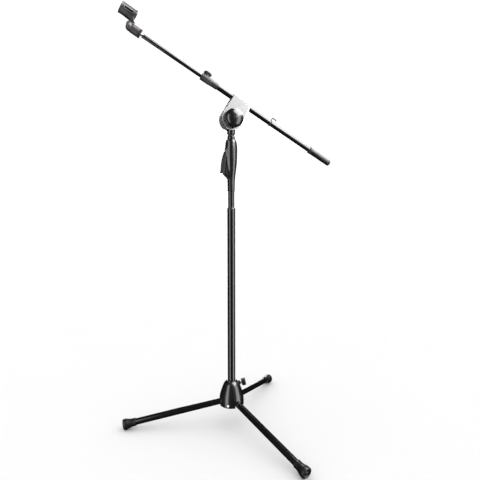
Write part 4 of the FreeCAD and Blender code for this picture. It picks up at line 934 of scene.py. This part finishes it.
def makeStudio():
    studio = {"floorHalf": 30.0, "world": 1.12}
    half = studio["floorHalf"]
    corners = [(-half, -half, 0.0), (half, -half, 0.0), (half, half, 0.0), (-half, half, 0.0)]
    mesh = bpy.data.meshes.new("floor")
    mesh.from_pydata(corners, [], [(0, 1, 2, 3)])
    floor = bpy.data.objects.new("floor", mesh)
    bpy.context.scene.collection.objects.link(floor)
    paper = Recipe("paleFloor", Roughness=0.9, Specular_IOR_Level=0.0)
    tone = paper.noise(3.0, 3.0)
    mesh.materials.append(paper.finish(Base_Color=paper.tint(tone, (0.9, 0.9, 0.905), (0.885, 0.885, 0.885))))
    floor.visible_glossy = False
    floor.visible_shadow = False

    world = bpy.data.worlds.new("studioAir")
    world.use_nodes = True
    sky = world.node_tree.nodes["Background"]
    sky.inputs["Color"].default_value = (1.0, 1.0, 1.0, 1.0)
    sky.inputs["Strength"].default_value = studio["world"]
    world.cycles_visibility.glossy = False
    bpy.context.scene.world = world
    bpy.context.scene.view_settings.view_transform = "Standard"


def softBox(name, aim, turnDeg, riseDeg, distance, width, height, glow):
    # a rectangular lamp round the object, seen only in reflections:
    # turn 0 stands on the -Y side and 90 on the +X side
    turn, rise = math.radians(turnDeg), math.radians(riseDeg)
    out = np.array([math.sin(turn) * math.cos(rise), -math.cos(turn) * math.cos(rise), math.sin(rise)])
    lamp = bpy.data.lights.new(name, "AREA")
    lamp.shape = "RECTANGLE"
    lamp.size, lamp.size_y, lamp.energy = width, height, glow * math.pi * width * height
    box = bpy.data.objects.new(name, lamp)
    bpy.context.scene.collection.objects.link(box)
    box.visible_diffuse = False
    right, up = crossAxes(out, np.cross(upZ, out))
    matrix = np.eye(4)
    matrix[:3, 0], matrix[:3, 1], matrix[:3, 2] = right, up, out
    matrix[:3, 3] = np.asarray(aim) + out * distance
    box.matrix_world = Matrix(matrix.tolist())


def makeLights():
    middle = np.array([0, 0, 0.5])
    softBox("rightBox", middle, 48, 0, 2.4, 1.5, 3.8, 4.6)
    softBox("leftBox", middle, -62, 0, 2.4, 1.1, 3.8, 4.4)
    softBox("frontBox", pivot, 16, 12, 2.6, 1.3, 1.2, 0.7)
    softBox("topBox", pivot, 66, 49, 2.4, 3.0, 2.2, 13.0)
    softBox("rightSpot", pivot, 33, 16, 2.4, 0.45, 0.5, 11.0)
    softBox("backBox", middle, 165, 12, 2.8, 1.2, 2.6, 5.0)


def makeCamera():
    camera = {"distance": 1.35, "height": 0.743, "round": 17.76, "turn": 1.18, "dip": 5.52, "lens": 31.9}
    around, aimDeg = math.radians(camera["round"]), 90 - camera["turn"] - camera["round"]
    eye = np.array([-camera["distance"] * math.sin(around), -camera["distance"] * math.cos(around),
                    camera["height"]])
    aim, dip = math.radians(aimDeg), math.radians(camera["dip"])
    forward = np.array([math.cos(aim) * math.cos(dip), math.sin(aim) * math.cos(dip), -math.sin(dip)])
    data = bpy.data.cameras.new("viewCamera")
    data.lens, data.sensor_width = camera["lens"], 36.0
    data.clip_start, data.clip_end = 0.05, 100.0
    eyeObject = bpy.data.objects.new("viewCamera", data)
    bpy.context.scene.collection.objects.link(eyeObject)
    right = unit(np.cross(forward, upZ))
    matrix = np.eye(4)
    matrix[:3, 0], matrix[:3, 1] = right, np.cross(right, forward)
    matrix[:3, 2], matrix[:3, 3] = -forward, eye
    eyeObject.matrix_world = Matrix(matrix.tolist())
    bpy.context.scene.camera = eyeObject


makeStudio()
makeLights()
makeCamera()
print("studio made")
